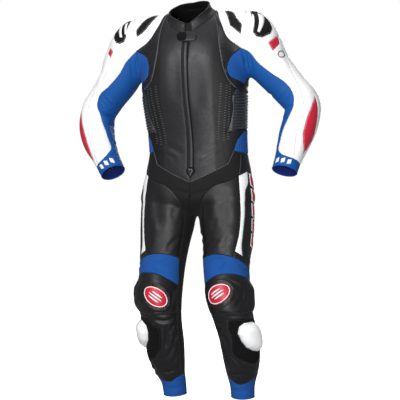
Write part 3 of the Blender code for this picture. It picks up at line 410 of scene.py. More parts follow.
# Seams of one half, from junction to junction through marks
SEAMS = [read_marks(row) for row in read_rows("""
# collar, zip and princess line
collar_top N25,105 N45,112 N66,117 N92,120 N132,118 collar_back
collar_low N22,80/25,81 N40,91/44,87 N58,102/60,91 neck_princess neck_yoke A114,60/114,58 neck_back \
    back_neck
collar_top collar_low
collar_top zip_top
collar_low F11,-120 F11,-250 F11,-400 zip_low
zip_low F15,-531 zip_tip
zip_tip vee_tip
neck_princess F99,-47/110,-45 F102,-86/115,-90 F106,-130/122,-132 F118,-181/131,-180 F133,-222/147,-222 \
    chest_low
chest_low T78,-256 T95,-260 side_high
# yoke and armhole
neck_yoke F113,-31/124,-28 F139,-71/142,-70 hole_front
hole_front A5,200 A45,172 hole_top A140,168 hole_back
hole_back A-172,220 hole_low B192,-168 pit_back pit_front
hole_front F192,-148 F193,-178 pit_front
neck_back B120,-50 hole_back
hole_front F152,-136/152,-146 F141,-172/143,-180 F150,-206 gusset_low
gusset_low T84,-229 pit_front
# side and waist
pit_back side_high
side_high T118,-320 side_mid
side_mid side_low
chest_low T64,-275 T65,-324 T62,-372 rib_low
rib_low T76,-391 waist_high
waist_high side_mid
waist_high T81,-402 T73,-425 waist_low
waist_low waist_hip
waist_hip T98,-473 side_low
waist_low hip_front
hip_front F66,-545 vee_tip
side_low B92,-484 back_waist
# hip, crotch and seat
waist_hip L52,-514 stripe_top_in
vee_tip C25,0 C58,0 crotch
crotch C118,0 C150,0 seat_back
back_waist seat_back
stripe_top_in L22,-570 L-6,-585 L-25,-613 L-42,-655 L-50,-695 L-56,-760 band_top_in
crotch seat_in
seat_in L-112,-800 L-112,-920 knee_back_in
side_low L116,-590 seat_out
seat_out L116,-800 band_top_out
seat_out L145,-712 L180,-728 L-145,-728 seat_in
# thigh stripe
stripe_top_in L46,-636 L45,-692 L41,-750 stripe_low_in
stripe_top_in stripe_top_out
stripe_top_out L69,-580 L61,-600 L57,-645 L55,-692 L50,-750 L48,-806 stripe_low_out
stripe_low_in stripe_low_out
stripe_low_in band_stripe
# knee
band_top_in L-15,-826 band_stripe L52,-850 L82,-872 band_top_out
band_top_in band_low_in
band_top_out band_low_out
band_low_in L-38,-918 L-8,-897 L25,-892 L62,-903 L90,-914 band_low_out
band_low_in L-70,-985 knee_in
band_low_out L115,-975 knee_out
knee_in L-42,-1035 L-10,-1039 L40,-1033 L80,-1026 knee_out
knee_in knee_back_in
knee_out L145,-1032 L180,-1036 L-145,-1036 knee_back_in
# shin and ankle
knee_in L-68,-1110 L-70,-1200 ankle_in
knee_out L122,-1110 L120,-1200 ankle_out
ankle_in L-40,-1276 L-8,-1291 L22,-1290 L60,-1276 ankle_out
ankle_out L148,-1256 ankle_back
ankle_back L-140,-1254 ankle_in
ankle_back ankle_hem
# sleeve
hole_front A-17,258 A-14,305 A-3,362 A6,414/8,418 A-9,455/1,455 A-26,505/-18,505 A-46,574/-38,574 \
    A-62,645/-50,645 A-60,690/-50,690 wrist_in
hole_top A92,240 A72,330 A45,410 A24,470 A16,550 A14,620 wrist_out
hole_low A-162,360 A-168,480 A-174,600 wrist_back
wrist_in A8,717 wrist_out
wrist_out A90,714 A130,714 wrist_back
wrist_back A-150,718 A-100,716 A-55,714 wrist_in
wrist_back wrist_hem
# hems and edges that close on themselves
ankle_hem L120,-1343 L60,-1345 L0,-1347 L-60,-1343 L-120,-1341 ankle_hem
wrist_hem A110,753 A50,754 A-10,755 A-70,756 A-130,756 wrist_hem
""")]

# Junctions on the middle line, which both halves share
MIDDLE = read_junctions("""
collar_back N180,112   back_neck N180,82   zip_top N0,97   zip_tip F0,-559   vee_tip F0,-574
crotch C90,0   back_waist B0,-486   seat_back B0,-560
""")

SOFT_REACH = 10.0        # stretch of the form over which a wall's direction is read

# Pieces in the middle run over both halves. A loop lists the junctions round a piece; for
# one in the middle it is one half, middle to middle. Puff is how far a piece swells between
# its seams. Each row gives the name, the form whose angles it is laid flat by, the finish,
# the puff and the loop.
CENTRE = ("collar", "front_zip", "back_panel")
PANELS = read_rows("""
collar N black_leather 0.6 collar_back collar_top collar_low neck_princess neck_yoke neck_back back_neck
front_zip T zip_tape 0 zip_tip zip_low collar_low collar_top zip_top
back_panel T black_leather 1 back_neck neck_back hole_back hole_low pit_back side_high side_mid side_low \
    back_waist
front_panel T perforated_leather 1 collar_low neck_princess chest_low rib_low waist_high waist_low \
    hip_front vee_tip zip_tip zip_low
chest_side T black_leather 1.2 neck_princess neck_yoke hole_front gusset_low pit_front pit_back side_high \
    chest_low
gusset T blue_stretch 0.8 hole_front gusset_low pit_front
side_rib T rib_stretch 0 chest_low side_high side_mid waist_high rib_low
waist_side T blue_stretch 0 waist_high side_mid side_low waist_hip waist_low
shoulder_yoke A white_leather 1.6 neck_yoke hole_front hole_top hole_back neck_back
seat L black_leather 1.2 back_waist seat_back crotch seat_in seat_out side_low
hip_stretch L black_stretch 0.5 vee_tip hip_front waist_low waist_hip stripe_top_in band_top_in \
    band_low_in knee_in knee_back_in seat_in crotch
thigh_front L black_leather 1.6 stripe_top_in stripe_low_in band_stripe band_top_in
thigh_stripe L white_leather 0.8 stripe_top_in stripe_top_out stripe_low_out stripe_low_in
thigh_outer L black_leather 1.2 waist_hip side_low seat_out band_top_out band_stripe stripe_low_in \
    stripe_low_out stripe_top_out stripe_top_in
thigh_back L black_leather 1.2 seat_out seat_in knee_back_in knee_out band_low_out band_top_out
knee_band L blue_stretch 1 band_top_in band_stripe band_top_out band_low_out band_low_in
knee_cup L black_leather 2 band_low_in band_low_out knee_out knee_in
shin L black_leather 1.2 knee_in knee_out ankle_out ankle_in
calf L black_stretch 0.5 knee_out knee_back_in knee_in ankle_in ankle_back ankle_out
ankle_cuff L blue_stretch 0.6 ankle_back ankle_in ankle_out ankle_back ankle_hem ankle_hem
sleeve_inner A blue_leather 0.8 hole_front pit_front pit_back hole_low wrist_back wrist_in
sleeve_front A white_leather 1.4 hole_front hole_top wrist_out wrist_in
sleeve_outer A white_leather 1.4 hole_top hole_back hole_low wrist_back wrist_out
wrist_cuff A blue_leather 0.6 wrist_back wrist_in wrist_out wrist_back wrist_hem wrist_hem
""")

# Ribs raised across a stretch piece: top and bottom height, how far they drop towards
# the front, angles of their two ends, pitch, height of a rib, columns of points
RIBS = {
    # piece: top, low, drop, inner end, outer end, pitch, rise, columns, rows a rib
    "side_rib": (-259, -386, 12, 66, 117, 10.0, 2.4, 22, 4),
    "waist_side": (-398, -472, -22, 70, 117, 6.4, 1.5, 14, 4),
}

# The round badges of the knee cups: angle and height of their middle, and lean
BADGES = {-1: (-7, -975, 38), 1: (-8, -961, 36)}
BADGE_STEP = (-3.9, 7.1)                # from one bar of a badge to the next


def badge(side, long, short, bar=0):
    """An oval on a badge, by its half length and half width; bars count from the middle."""
    a, h, lean = BADGES[side]
    return "oval", a + BADGE_STEP[0] * bar, h + BADGE_STEP[1] * bar, long, short, lean


# Pieces set into a panel ("cut") or sewn on top of it ("on"). The outline is a row of
# angle and height or station on the panel's own form, on the right and on the left.
INLAYS = [
    # name, panel, way, finish, right outline, left outline
    ("yoke_inset", "shoulder_yoke", "cut", "dull_leather",
     [(78, 104), (62, 106), (45, 110), (29, 121), (16, 135), (8, 152), (5, 171), (21, 166), (34, 150),
      (51, 134), (67, 118)],
     [(78, 100), (65, 104), (33, 123), (11, 138), (2, 162), (-3, 183), (19, 174), (34, 151), (53, 135),
      (74, 112)]),
    ("shoulder_vents", "sleeve_front", "on", "dull_leather",
     [(68, 174), (54, 178), (39, 187), (21, 199), (16, 211), (22, 223), (34, 228), (52, 225), (68, 217),
      (75, 200), (76, 182)],
     [(68, 174), (54, 181), (33, 198), (18, 213), (18, 230), (28, 243), (52, 244), (65, 233), (73, 212),
      (77, 194), (75, 180)]),
    ("arm_patch", "sleeve_front", "cut", "red_leather",
     [(49, 251), (30, 254), (26, 272), (46, 268)],
     [(35, 270), (80, 260), (70, 285), (35, 299)]),
    ("forearm_leaf", "sleeve_outer", "cut", "red_leather",
     [(64, 498), (43, 530), (30, 573), (28, 614), (33, 650), (50, 684), (74, 690), (87, 655), (93, 610),
      (86, 570), (78, 528)],
     [(64, 486), (43, 502), (33, 525), (29, 567), (33, 608), (48, 641), (79, 674), (90, 645), (95, 602),
      (84, 571), (77, 538)]),
    ("knee_badge", "knee_cup", "on", "badge_leather", badge(-1, 46, 30), badge(1, 46, 30)),
    ("slider_pad", "shin", "on", "hook_pad",
     [(66, -1050), (24, -1056), (12, -1074), (-10, -1087), (-8, -1132), (-1, -1169), (24, -1201),
      (68, -1221), (100, -1205), (111, -1150), (112, -1095), (104, -1054)],
     [(2, -1050), (34, -1048), (83, -1048), (106, -1060), (110, -1095), (108, -1148), (90, -1195),
      (59, -1214), (34, -1208), (0, -1189), (-14, -1168), (-4, -1116), (-8, -1086)]),
    ("slider_puck", "slider_pad", "on", "puck_nylon",
     [(49, -1063), (33, -1079), (31, -1104), (38, -1134), (60, -1161), (78, -1168), (93, -1143),
      (101, -1105), (97, -1073), (74, -1062)],
     [(17, -1097), (26, -1074), (42, -1062), (67, -1060), (90, -1068), (98, -1092), (96, -1125), (88, -1153),
      (69, -1166), (50, -1160), (33, -1148), (22, -1126)]),
]

# The slot of a finish that stands for another's; every other finish's slot is its own name
SLOTS = {"perforated_leather": "black_leather", "dull_leather": "black_leather",
         "rib_stretch": "black_stretch", "puck_nylon": "white_plastic"}


def thickness(finish):
    """Wall thickness of a piece in a finish."""
    if finish == "puck_nylon":
        return PUCK_WALL
    return STRETCH if finish.endswith(("stretch", "pad")) else LEATHER


PUCK_DOME = 20.0         # how far the slider puck rises above its edge
CUP_LIP = 4.0            # how far the moulded knee cup stands proud over the shin
CUP_LOW = (-1038, 42)    # height of its lower edge, and how far up the lip fades out
CUP_ENDS = (-70, 110, 22)               # angles of the lip's two ends, and over how much it fades
CUP_RIDGE = (9.0, 2.8, 3.2)             # moulded ridge round the badge: how far out, half width, rise
PUCK_EDGE = 30.0         # how far in from its edge the dome is at its full height
ZIP_GUARD = 1.5          # ridge of the guard over the zip teeth
PUFF_REACH = 40.0        # how far from its seams a piece has its full puff
THINNEST = 0.5           # a wall is never thinner than this

# Soft pads under the leather: how wide they are, how far out they push it, and their line
SWELLS = read_rows("""
62 9 L-6,-955 L-4,-990
46 15 L86,-956 L82,-994
58 6 A172,395 A172,445
52 3 A84,185 A70,225
""")

CREASE_DEPTH = 1.6       # share by which every crease is drawn in, to show in soft light
CREASE_RIDGE = (0.4, 1.7)               # height of the ridge beside it, as a share, and how far out

# Creases: soft troughs (or ridges, where the rise is positive) with a low ridge beside them,
# deepest in the middle of their line. Each row gives the panel, on one side or on both, the
# width, the rise and the marks along the line.
CREASES = read_rows("""
# chest, belly and back
front_panel_l 22 -1.3 T50,-440 T34,-466 T14,-484
front_panel_l 18 -1 T54,-468 T40,-490 T20,-512
front_panel_r 24 -1.2 T52,-432 T38,-452 T16,-474
front_panel_r 16 -0.9 T48,-470 T30,-492
front_panel_r 46 -1.6 F26,-120 F34,-200 F30,-300
front_panel_l 50 -1.8 F40,-130 F46,-230 F38,-330
chest_side_l 18 -2.6 F142,-150 F136,-190 T66,-232
chest_side_r 17 -2.2 F138,-146 F130,-182 T64,-226
chest_side_l 6 -1.6 T52,-112 T62,-108 T68,-103
chest_side_r 6 -1.6 T46,-107 T56,-109 T64,-104
chest_side 15 -2.4 T88,-238 T104,-246
back_panel 18 -5 T150,-392 T178,-400 T-152,-394
back_panel 18 -4 T146,-432 T180,-438 T-148,-434
back_panel 16 -3 T140,-454 T158,-462
back_panel 24 -3 T132,-262 T146,-240 T156,-206
# hips, crotch and thighs
hip_stretch 17 -4 L-62,-760 L-88,-775
hip_stretch_l 13 -2.8 L-22,-600 L-44,-622 L-62,-632
hip_stretch_r 14 -3 L-18,-596 L-40,-612 L-60,-618
hip_stretch 14 -3 L-58,-672 L-84,-660
hip_stretch 15 -3 L-66,-820 L-94,-836
thigh_front_l 14 -2.8 L-45,-805 L-28,-787 L-16,-772
thigh_front_l 13 -2.4 L-32,-812 L-18,-793 L-5,-777
thigh_front_l 18 -1.4 L-17,-737 L-10,-713 L-5,-700
thigh_front_l 26 -1.5 L-24,-640 L-28,-680 L-25,-710
thigh_front_l 40 -2.2 L16,-592 L10,-660 L12,-730
thigh_front_l 20 -2.2 L22,-760 L8,-792 L2,-815
thigh_front_r 16 -1.8 L-44,-770 L-30,-790 L-20,-815
thigh_front_r 44 -2.4 L18,-600 L8,-670 L4,-740
thigh_front_r 22 -1.3 L-30,-660 L-24,-700
thigh_front_r 26 -1.8 L24,-700 L20,-760 L22,-806
thigh_outer 34 -2.4 L104,-640 L96,-720 L100,-790
thigh_outer 15 -3 L66,-846 L84,-862 L104,-872
seat 18 -5 L140,-676 L180,-692 L-150,-690
seat 20 -3 L128,-640 L150,-652
# knees: folds behind, moulded ridges and pinched leather in front
thigh_back 18 -6 L140,-965 L180,-975 L-150,-968
thigh_back 17 -6 L132,-1002 L180,-1012 L-150,-1004
thigh_back 17 -5 L140,-930 L175,-936
thigh_back 22 -3 L150,-780 L176,-800 L-166,-792
knee_band_l 8 -3 L-30,-842 L-6,-834 L18,-852
knee_band_l 8 -3.2 L18,-850 L8,-868 L-6,-882
knee_band_l 13 -2.4 L44,-866 L66,-880 L92,-890
knee_band_r 8 -3 L22,-848 L-4,-856 L-28,-850
knee_band_r 8 -3.2 L12,-874 L-4,-886 L-20,-902
knee_band_r 13 -2.4 L50,-862 L78,-880
knee_cup_l 9 2 L17,-908 L40,-922 L56,-950 L54,-980 L34,-1006
knee_cup_l 8 1.8 L24,-934 L36,-950 L36,-974 L24,-992
knee_cup_l 9 1.6 L-58,-940 L-56,-975 L-50,-1010
knee_cup_l 9 -2.2 L-40,-1022 L-6,-1024 L40,-1020 L72,-1012
knee_cup_r 9 2 L17,-912 L36,-928 L46,-956 L44,-986 L24,-1010
knee_cup_r 9 1.8 L58,-920 L74,-950 L74,-984
knee_cup_r 9 1.6 L-54,-946 L-54,-980 L-48,-1008
knee_cup_r 9 -2.2 L-42,-1022 L-8,-1026 L36,-1022 L70,-1012
# shins and calves
calf 18 -5 L150,-1066 L180,-1072 L-140,-1066
calf 20 -3 L156,-1120 L-172,-1132
shin_l 13 -3.4 L-50,-1056 L-30,-1064 L-12,-1060
shin_l 15 -3.2 L-48,-1092 L-32,-1112 L-24,-1150
shin_l 14 -2.6 L-60,-1130 L-48,-1170 L-36,-1204
shin_r 13 -3.4 L-54,-1052 L-24,-1062 L2,-1056
shin_r 15 -3.2 L-30,-1078 L-28,-1120 L-20,-1160
shin_r 13 -2.6 L-60,-1110 L-46,-1140
shin_l 11 -2.4 L-62,-1072 L-44,-1084 L-30,-1082
shin_l 12 -2.2 L-20,-1176 L2,-1204 L16,-1226
shin_l 12 -2 L-46,-1192 L-26,-1216 L-4,-1236
shin_r 13 -2.2 L-44,-1150 L-30,-1180 L-8,-1206
shin_r 12 -2 L-66,-1168 L-50,-1196 L-30,-1222
shin_r 11 -2.4 L-66,-1066 L-48,-1080 L-38,-1104
shin 15 -3 L-44,-1240 L-10,-1252 L18,-1248
shin 14 -2.6 L34,-1232 L56,-1252 L84,-1254
ankle_cuff 15 -1.6 L-60,-1310 L-10,-1318 L40,-1312
# sleeves: pleats at the armhole, folds in the crook and over the forearm
sleeve_inner_l 10 -3.4 A-33,250 A-48,282 A-62,307
sleeve_inner_l 9 -3.2 A-24,251 A-39,284 A-54,314
sleeve_inner_l 9 -3 A-20,266 A-30,292 A-42,318
sleeve_inner_r 10 -3.4 A-29,222 A-42,246 A-56,272
sleeve_inner_r 10 -3.2 A-22,236 A-34,262 A-48,292
sleeve_inner 15 -1.6 A-60,408 A-78,402 A-96,404
sleeve_inner 14 -1.8 A-66,566 A-100,560 A-128,566
sleeve_inner 15 -2.4 A-130,352 A-156,344
sleeve_inner_l 9 -3.4 A-6,444 A-26,450 A-56,457
sleeve_inner_l 9 -3.2 A-8,432 A-30,436 A-60,434
sleeve_inner_r 9 -3.4 A-10,424 A-34,430 A-63,446
sleeve_inner_r 9 -3.2 A-10,410 A-34,416 A-60,428
sleeve_inner_r 12 -2.4 A-28,462 A-50,470 A-76,468
sleeve_inner 22 -1.8 A-70,500 A-84,560 A-92,620
sleeve_inner 13 -2.4 A-80,650 A-110,660 A-140,656
sleeve_front 14 -3 A2,432 A16,440
sleeve_front 13 -2.2 A10,395 A28,404
sleeve_front 13 -1.8 A-20,560 A-4,578
sleeve_front 22 -1.8 A20,300 A30,340 A26,376
sleeve_outer 16 -3 A120,330 A140,345 A168,350
sleeve_outer 14 -2.6 A110,480 A135,490 A165,486
shoulder_yoke 18 -2.4 A110,96 A128,120 A148,140
""")

# The closure tab lies across the zip under the collar: its edges on the front, and the
# edges of the hook pad on its right half
TAB_EDGES = [(-32, -52), (6, -50), (40, -53), (40, -86), (6, -87), (-32, -84)]
TAB_PAD = [(-30, -54), (-12, -53), (4, -53), (4, -84), (-12, -84), (-30, -82)]
TAB_LIFT = 4.0           # its inner face over the body form
TAB_PAD_WALL = 0.7
TAB_STEP = 5.0           # spacing of its points
PATCH_STEP = 4.0         # spacing of points along and inside a small cut-out
SLIVER = 0.05            # twice the area under which a triangle is left out of it


def form_of(kind, side):
    """The form that a mark's letter names, on one side."""
    return {"N": NECK, "L": LEGS[side], "A": ARMS[side]}.get(kind, TORSO)


def armpit(side, y):
    """The highest point under the arm at a distance behind the origin."""
    x, z = np.meshgrid(side * np.arange(165.0, 240, 3), np.arange(-150.0, -250, -2))
    spots = np.stack([x.ravel(), np.full(x.size, float(y)), z.ravel()], 1)
    return spots[(body(spots) > 0).argmax()]


def place(marks, side):
    """Points of the form under marks."""
    starts, ways = [], []
    for kind, *spot in marks:
        a, h = spot[-2:] if side > 0 else spot[:2]
        if kind in "FB":
            start, way = TORSO.middle(np.array([h])) + [side * a, 0, 0], [[0, -1 if kind == "F" else 1, 0]]
        elif kind == "C":
            turn = np.radians(a)
            start, way = TORSO.middle(np.array([CROTCH_HEIGHT])), [[0, -np.cos(turn), -np.sin(turn)]]
        elif kind == "P":
            start, way = [armpit(side, a) + [0, 0, 30]], [[0, 0, -1]]
        else:
            turn = side * a if kind == "N" else a
            start, way = form_of(kind, side).cast(side, np.array([float(turn)]), np.array([float(h)]))
        starts.append(start[0])
        ways.append(np.array(way, float)[0])
    return settle(leave(np.array(starts, float), np.array(ways)), 2)


def place_chart(kind, side, turn, height):
    """Points of the form under many marks of one limb."""
    start, way = form_of(kind, side).cast(side, side * turn if kind == "N" else turn, height)
    return settle(leave(start, way), 2)


def sew():
    """Every seam as points on the form, by the two junctions at its ends."""
    spots = {}
    for side, marks in ((0, MIDDLE), (-1, JUNCTIONS), (1, JUNCTIONS)):
        for name, point in zip(marks, place(list(marks.values()), side or 1)):
            spots[side, name] = point
    runs = []
    for side in TAILS:
        for seam in SEAMS:
            keys = [keys_of([mark], side)[0] if isinstance(mark, str) else None for mark in seam]
            marks = [mark for mark in seam if not isinstance(mark, str)]
            placed = iter(place(marks, side) if marks else [])
            points = np.array([spots[key] if key else next(placed) for key in keys])
            run = np.r_[0, np.cumsum(steps_of(points))]
            stops = [i for i, key in enumerate(keys) if key]
            for a, b in zip(stops[:-1], stops[1:]):
                fine = np.linspace(run[a], run[b], 2 + int((run[b] - run[a]) / 4))
                if len(points) > 2:
                    line = np.stack([smooth_read(run, column, fine) for column in points.T], 1)
                else:
                    line = points[0] + (points[1] - points[0]) * (fine / run[-1])[:, None]
                runs.append(((keys[a], keys[b]), line, points[a], points[b]))
    lines = [even(line) for line in settle_all([line for _, line, _, _ in runs], 3)]
    edges = {}
    for (ends, _, start, end), line in zip(runs, settle_all(lines, 2)):
        line[0], line[-1] = start, end
        edges[ends] = line
        edges.setdefault(ends[::-1], line[::-1])
    return edges


def keys_of(names, side):
    """Junctions of one half, by side and name; the middle line's have no side."""
    return [(0 if name in MIDDLE else side, name) for name in names]


def settle_all(lines, rounds):
    """Settle many lines at once."""
    stops = np.cumsum([len(line) for line in lines])[:-1]
    return np.split(settle(np.concatenate(lines), rounds), stops)


def even(line, step=SEAM_STEP):
    """A line in equal short stretches."""
    run = np.r_[0, np.cumsum(steps_of(line))]
    marks = np.linspace(0, run[-1], int(max(1, np.ceil(run[-1] / step))) + 1)
    return np.stack([np.interp(marks, run, column) for column in line.T], 1)


def swell_lines():
    """Lines of the swells with their width and rise."""
    return [(place(read_marks(marks), side), float(width), float(rise))
            for side in TAILS for width, rise, *marks in SWELLS]


def swell(p, rows):
    """How far pads push the cloth out at each point."""
    return sum(rise * np.clip(1 - (reach_to(p, line)[0] / width) ** 2, 0, 1) ** 2
               for line, width, rise in rows)


def reach_to(p, line, closed=False):
    """Distance from points to a line, and how far along it the nearest place lies."""
    near, along = np.full(len(p), 1e9), np.zeros(len(p))
    ends = np.roll(line, -1, axis=0) if closed else line[1:]
    run = 0.0
    for a, b in zip(line if closed else line[:-1], ends):
        length = max(np.linalg.norm(b - a), 1e-6)
        share = np.clip((p - a) @ (b - a) / length ** 2, 0, 1)
        far = np.linalg.norm(p - a - share[:, None] * (b - a), axis=1)
        along = np.where(far < near, run + share * length, along)
        near = np.minimum(near, far)
        run += length
    return near, along / run


def within(loop, p):
    """Which flat points lie inside a closed flat loop."""
    inside = np.zeros(len(p), bool)
    x, y = p.T
    for a, b in zip(loop, np.roll(loop, -1, axis=0)):
        if a[1] != b[1]:
            inside ^= ((a[1] > y) != (b[1] > y)) & (x < a[0] + (y - a[1]) * (b[0] - a[0]) / (b[1] - a[1]))
    return inside


def hex_grid(loop, step):
    """Points in even staggered rows over a flat loop."""
    low, high = loop.min(0), loop.max(0)
    rows = np.arange(low[1] + step * 0.45, high[1], step * 0.87)
    spots = [(x, y) for i, y in enumerate(rows)
             for x in np.arange(low[0] + step * (0.5 + i % 2 / 2), high[0], step)]
    return np.array(spots, float).reshape(-1, 2)


def inlay_outline(rows, radius, step=SEAM_STEP):
    """The angles and the heights of an inlay's outline, cut into short stretches."""
    if rows[0] == "oval":
        _, a, h, long, short, tilt = rows
        turn = np.radians(np.arange(0, 360, 360 / OVAL_STEPS))
        x, y = long * np.cos(turn), short * np.sin(turn)
        lean = np.radians(tilt)
        x, y = x * np.cos(lean) - y * np.sin(lean), x * np.sin(lean) + y * np.cos(lean)
        return a + np.degrees(x / radius), h + y
    outline = []
    for (a, h), (b, k) in zip(rows, rows[1:] + rows[:1]):
        count = int(np.ceil(np.hypot(np.radians(b - a) * radius, k - h) / step))
        outline += [(a + (b - a) * t / count, h + (k - h) * t / count) for t in range(count)]
    return np.array(outline, float).T


def triangulate(flat, edges, rim, name):
    """Triangles over flat points inside a rim, along the edges given."""
    made = delaunay_2d_cdt([Vector(spot) for spot in flat], edges, [], 0, 1e-5, True)
    if len(made[0]) != len(flat):
        raise ValueError(f"seams of {name} cross: {len(flat)} points became {len(made[0])}")
    tris = np.array([[made[3][i][0] for i in face] for face in made[2]])
    return tris[within(rim, flat[tris].mean(1))]


def face_out(tris, p, out):
    """Triangles turned to face out of the form."""
    a, b, c = p[tris].transpose(1, 0, 2)
    facing = (np.cross(b - a, c - a) * out[tris[:, 0]]).sum()
    return tris if facing > 0 else tris[:, ::-1]


OVAL_STEPS = 44          # stretches of an oval's outline
RADIUS = {"T": 150.0, "N": 80.0, "L": 82.0, "A": 60.0}  # at which a form's angles are laid flat
ROWS = (2.6, 5.4)        # distance from a seam of the two rows of points that roll into it
ROW_CLEAR = 0.8          # share of that distance that a row keeps from every other seam
RIB_CLEAR = 1.6          # how near to a seam the points of ribs come


class Panel:
    """One panel in its flat chart: seam points round it, inlay outlines, points inside."""

    def __init__(self, row, side, edges):
        self.name, self.kind, self.finish, puff, *names = row
        self.puff = float(puff)
        self.wall = thickness(self.finish)
        self.slot = SLOTS.get(self.finish, self.finish)
        self.side = side
        self.sides = (-1, 1) if self.name in CENTRE else (side,)
        self.tail = "" if self.name in CENTRE else TAILS[side]
        self.form = form_of(self.kind, side)
        self.radius = RADIUS[self.kind]
        keys = keys_of(names, side)
        if self.name in CENTRE:
            keys += [key for key in keys_of(names[::-1], -side) if key not in (keys[0], keys[-1])]
        rim = np.concatenate([edges[a, b][:-1] for a, b in zip(keys, keys[1:] + keys[:1])])
        turn, height = self.form.read(side, rim)
        turn = np.degrees(np.unwrap(np.radians(turn)))
        self.middle = turn.mean()
        self.flat = [self.lay(turn, height)]
        self.points = [rim]
        self.loops = []
        self.add_inlays()
        self.add_inside()
        self.cut()

    def lay(self, turn, height):
        """Flat places of angles and heights."""
        return np.stack([np.radians(turn) * self.radius, height], 1)

    def near(self, turn):
        """Angles counted round to the panel's own turn."""
        return turn + 360 * np.round((self.middle - turn) / 360)

    def read_flat(self, p):
        """Flat places of points of the form."""
        turn, height = self.form.read(self.side, p)
        return self.lay(self.near(turn), height)

    def on_form(self, flat):
        """Points of the form under flat places."""
        return place_chart(self.kind, self.side, np.degrees(flat[:, 0] / self.radius), flat[:, 1])

    def owns(self, name):
        """Whether a row of a table that names a piece, on one side or on both, means this one."""
        return name in (self.name, self.name + TAILS[self.side])

    def add_inlays(self):
        """Outlines of what is set into the panel or sewn on it, and on those pieces in turn."""
        names = [self.name]
        for name, panel, way, finish, *outlines in INLAYS:
            if panel in names:
                names.append(name)
                turn, height = inlay_outline(outlines[self.side > 0], self.radius)
                turn = self.near(turn)
                self.loops.append((name, way, finish, self.lay(turn, height)))
                self.flat.append(self.loops[-1][-1])
                self.points.append(place_chart(self.kind, self.side, turn, height))

    def beside(self, line, away):
        """A closed line's points moved along the form, square to the line."""
        out = slope(line, SOFT_REACH)[0]
        way = unit(np.cross(out, np.roll(line, -1, axis=0) - np.roll(line, 1, axis=0)))
        return settle(line + way * away, 2)

    def add_inside(self):
        """Rows of points beside the seams, and even points over the rest."""
        rim = self.flat[0]
        lines = list(self.points)
        rows = [np.zeros((0, 3))]
        for i, line in enumerate([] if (self.name in RIBS) else lines):
            for away in ROWS:
                both = []
                for turn in (-away, away):
                    spots = self.beside(line, turn)
                    keep = within(rim, self.read_flat(spots))
                    for other in lines:
                        keep &= reach_to(spots, other, True)[0] > ROW_CLEAR * away
                    both.append(spots[keep])
                rows += both if i else [max(both, key=len)]
        rows = np.concatenate(rows)
        if self.name in RIBS:
            spots, gap = self.rib_spots(), RIB_CLEAR
        else:
            grid = FINE.get(self.name, CLOTH_STEP)
            spots, gap = hex_grid(rim, grid), (ROWS[-1] + 0.4 * grid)
        spots = spots[within(rim, spots)]
        made = self.on_form(spots)
        keep = np.ones(len(made), bool)
        for line in lines:
            keep &= reach_to(made, line, True)[0] > gap
        self.flat += [self.read_flat(rows), spots[keep]]
        self.points += [rows, made[keep]]

    def rib_spots(self):
        """Flat places in rows along the ribs."""
        top, low, drop, inner, outer, pitch, rise, columns, steps = RIBS[self.name]
        spots = []
        for k in range(int(round((top - low) / pitch * steps)) + steps):
            for a in np.linspace(inner, outer, columns):
                spots.append((a, top - k * pitch / steps - drop * (outer - a) / (outer - inner)))
        turn, height = np.array(spots).T
        return self.lay(turn, height)

    def cut(self):
        """Triangles over all points, with seams and inlay outlines kept as edges."""
        flat = np.concatenate(self.flat)
        edges, at = [], 0
        for loop in self.flat[:1 + len(self.loops)]:
            edges += [(at + i, at + (i + 1) % len(loop)) for i in range(len(loop))]
            at += len(loop)
        self.p = np.concatenate(self.points)
        self.out = slope(self.p, SOFT_REACH)[0]
        tris = triangulate(flat, edges, self.flat[0], f"{self.name} {self.side}")
        self.tris = face_out(tris, self.p, self.out)
        self.spots = flat
        self.turn = np.degrees(flat[:, 0] / self.radius)
        self.height = flat[:, 1]
        self.centres = flat[self.tris].mean(1)
        self.seam = reach_to(self.p, self.points[0], True)[0]


# ---- walls
def ribs(panel):
    """Ribs across a stretch piece, round on top and pinched between."""
    top, low, drop, inner, outer, pitch, rise, columns, steps = RIBS[panel.name]
    count = (top - drop * (outer - panel.turn) / (outer - inner) - panel.height) / pitch
    return rise * np.abs(np.sin(np.pi * count)) ** 0.8 * np.clip(panel.seam / 5, 0, 1)


def cup_lip(panel):
    """The lower edge of the moulded knee cup stands proud of the shin, and a ridge runs round
    its badge."""
    low, fade = CUP_LOW
    start, end, soft = CUP_ENDS
    lip = CUP_LIP * np.clip(1 - (panel.height - low) / fade, 0, 1)
    lip *= np.clip((panel.turn - start) / soft, 0, 1) * np.clip((end - panel.turn) / soft, 0, 1)
    away, half, rise = CUP_RIDGE
    far = reach_to(panel.p, panel.points[1], True)[0]
    ridge = np.where(within(panel.loops[0][-1], panel.spots), 0, np.exp(-((far - away) / half) ** 2))
    return lip + rise * ridge


def guard(panel):
    """A low ridge down the middle of the zip strip."""
    return ZIP_GUARD * np.clip(panel.seam / 5, 0, 1)


RAISED = {"side_rib": ribs, "waist_side": ribs, "knee_cup": cup_lip, "front_zip": guard}


def creases(panel):
    """Troughs and their ridges over one panel."""
    high, beside = CREASE_RIDGE
    total = np.zeros(len(panel.p))
    for name, width, rise, *marks in CREASES:
        if panel.owns(name):
            far, along = reach_to(panel.p, place(read_marks(marks), panel.side))
            fade = np.clip(1 - (2 * along - 1) ** 4, 0.0, 1)
            far = far / (0.5 * float(width))
            form = np.exp(-far ** 2) - high * np.exp(-(far - beside) ** 2)
            total += CREASE_DEPTH * float(rise) * fade * form
    return total


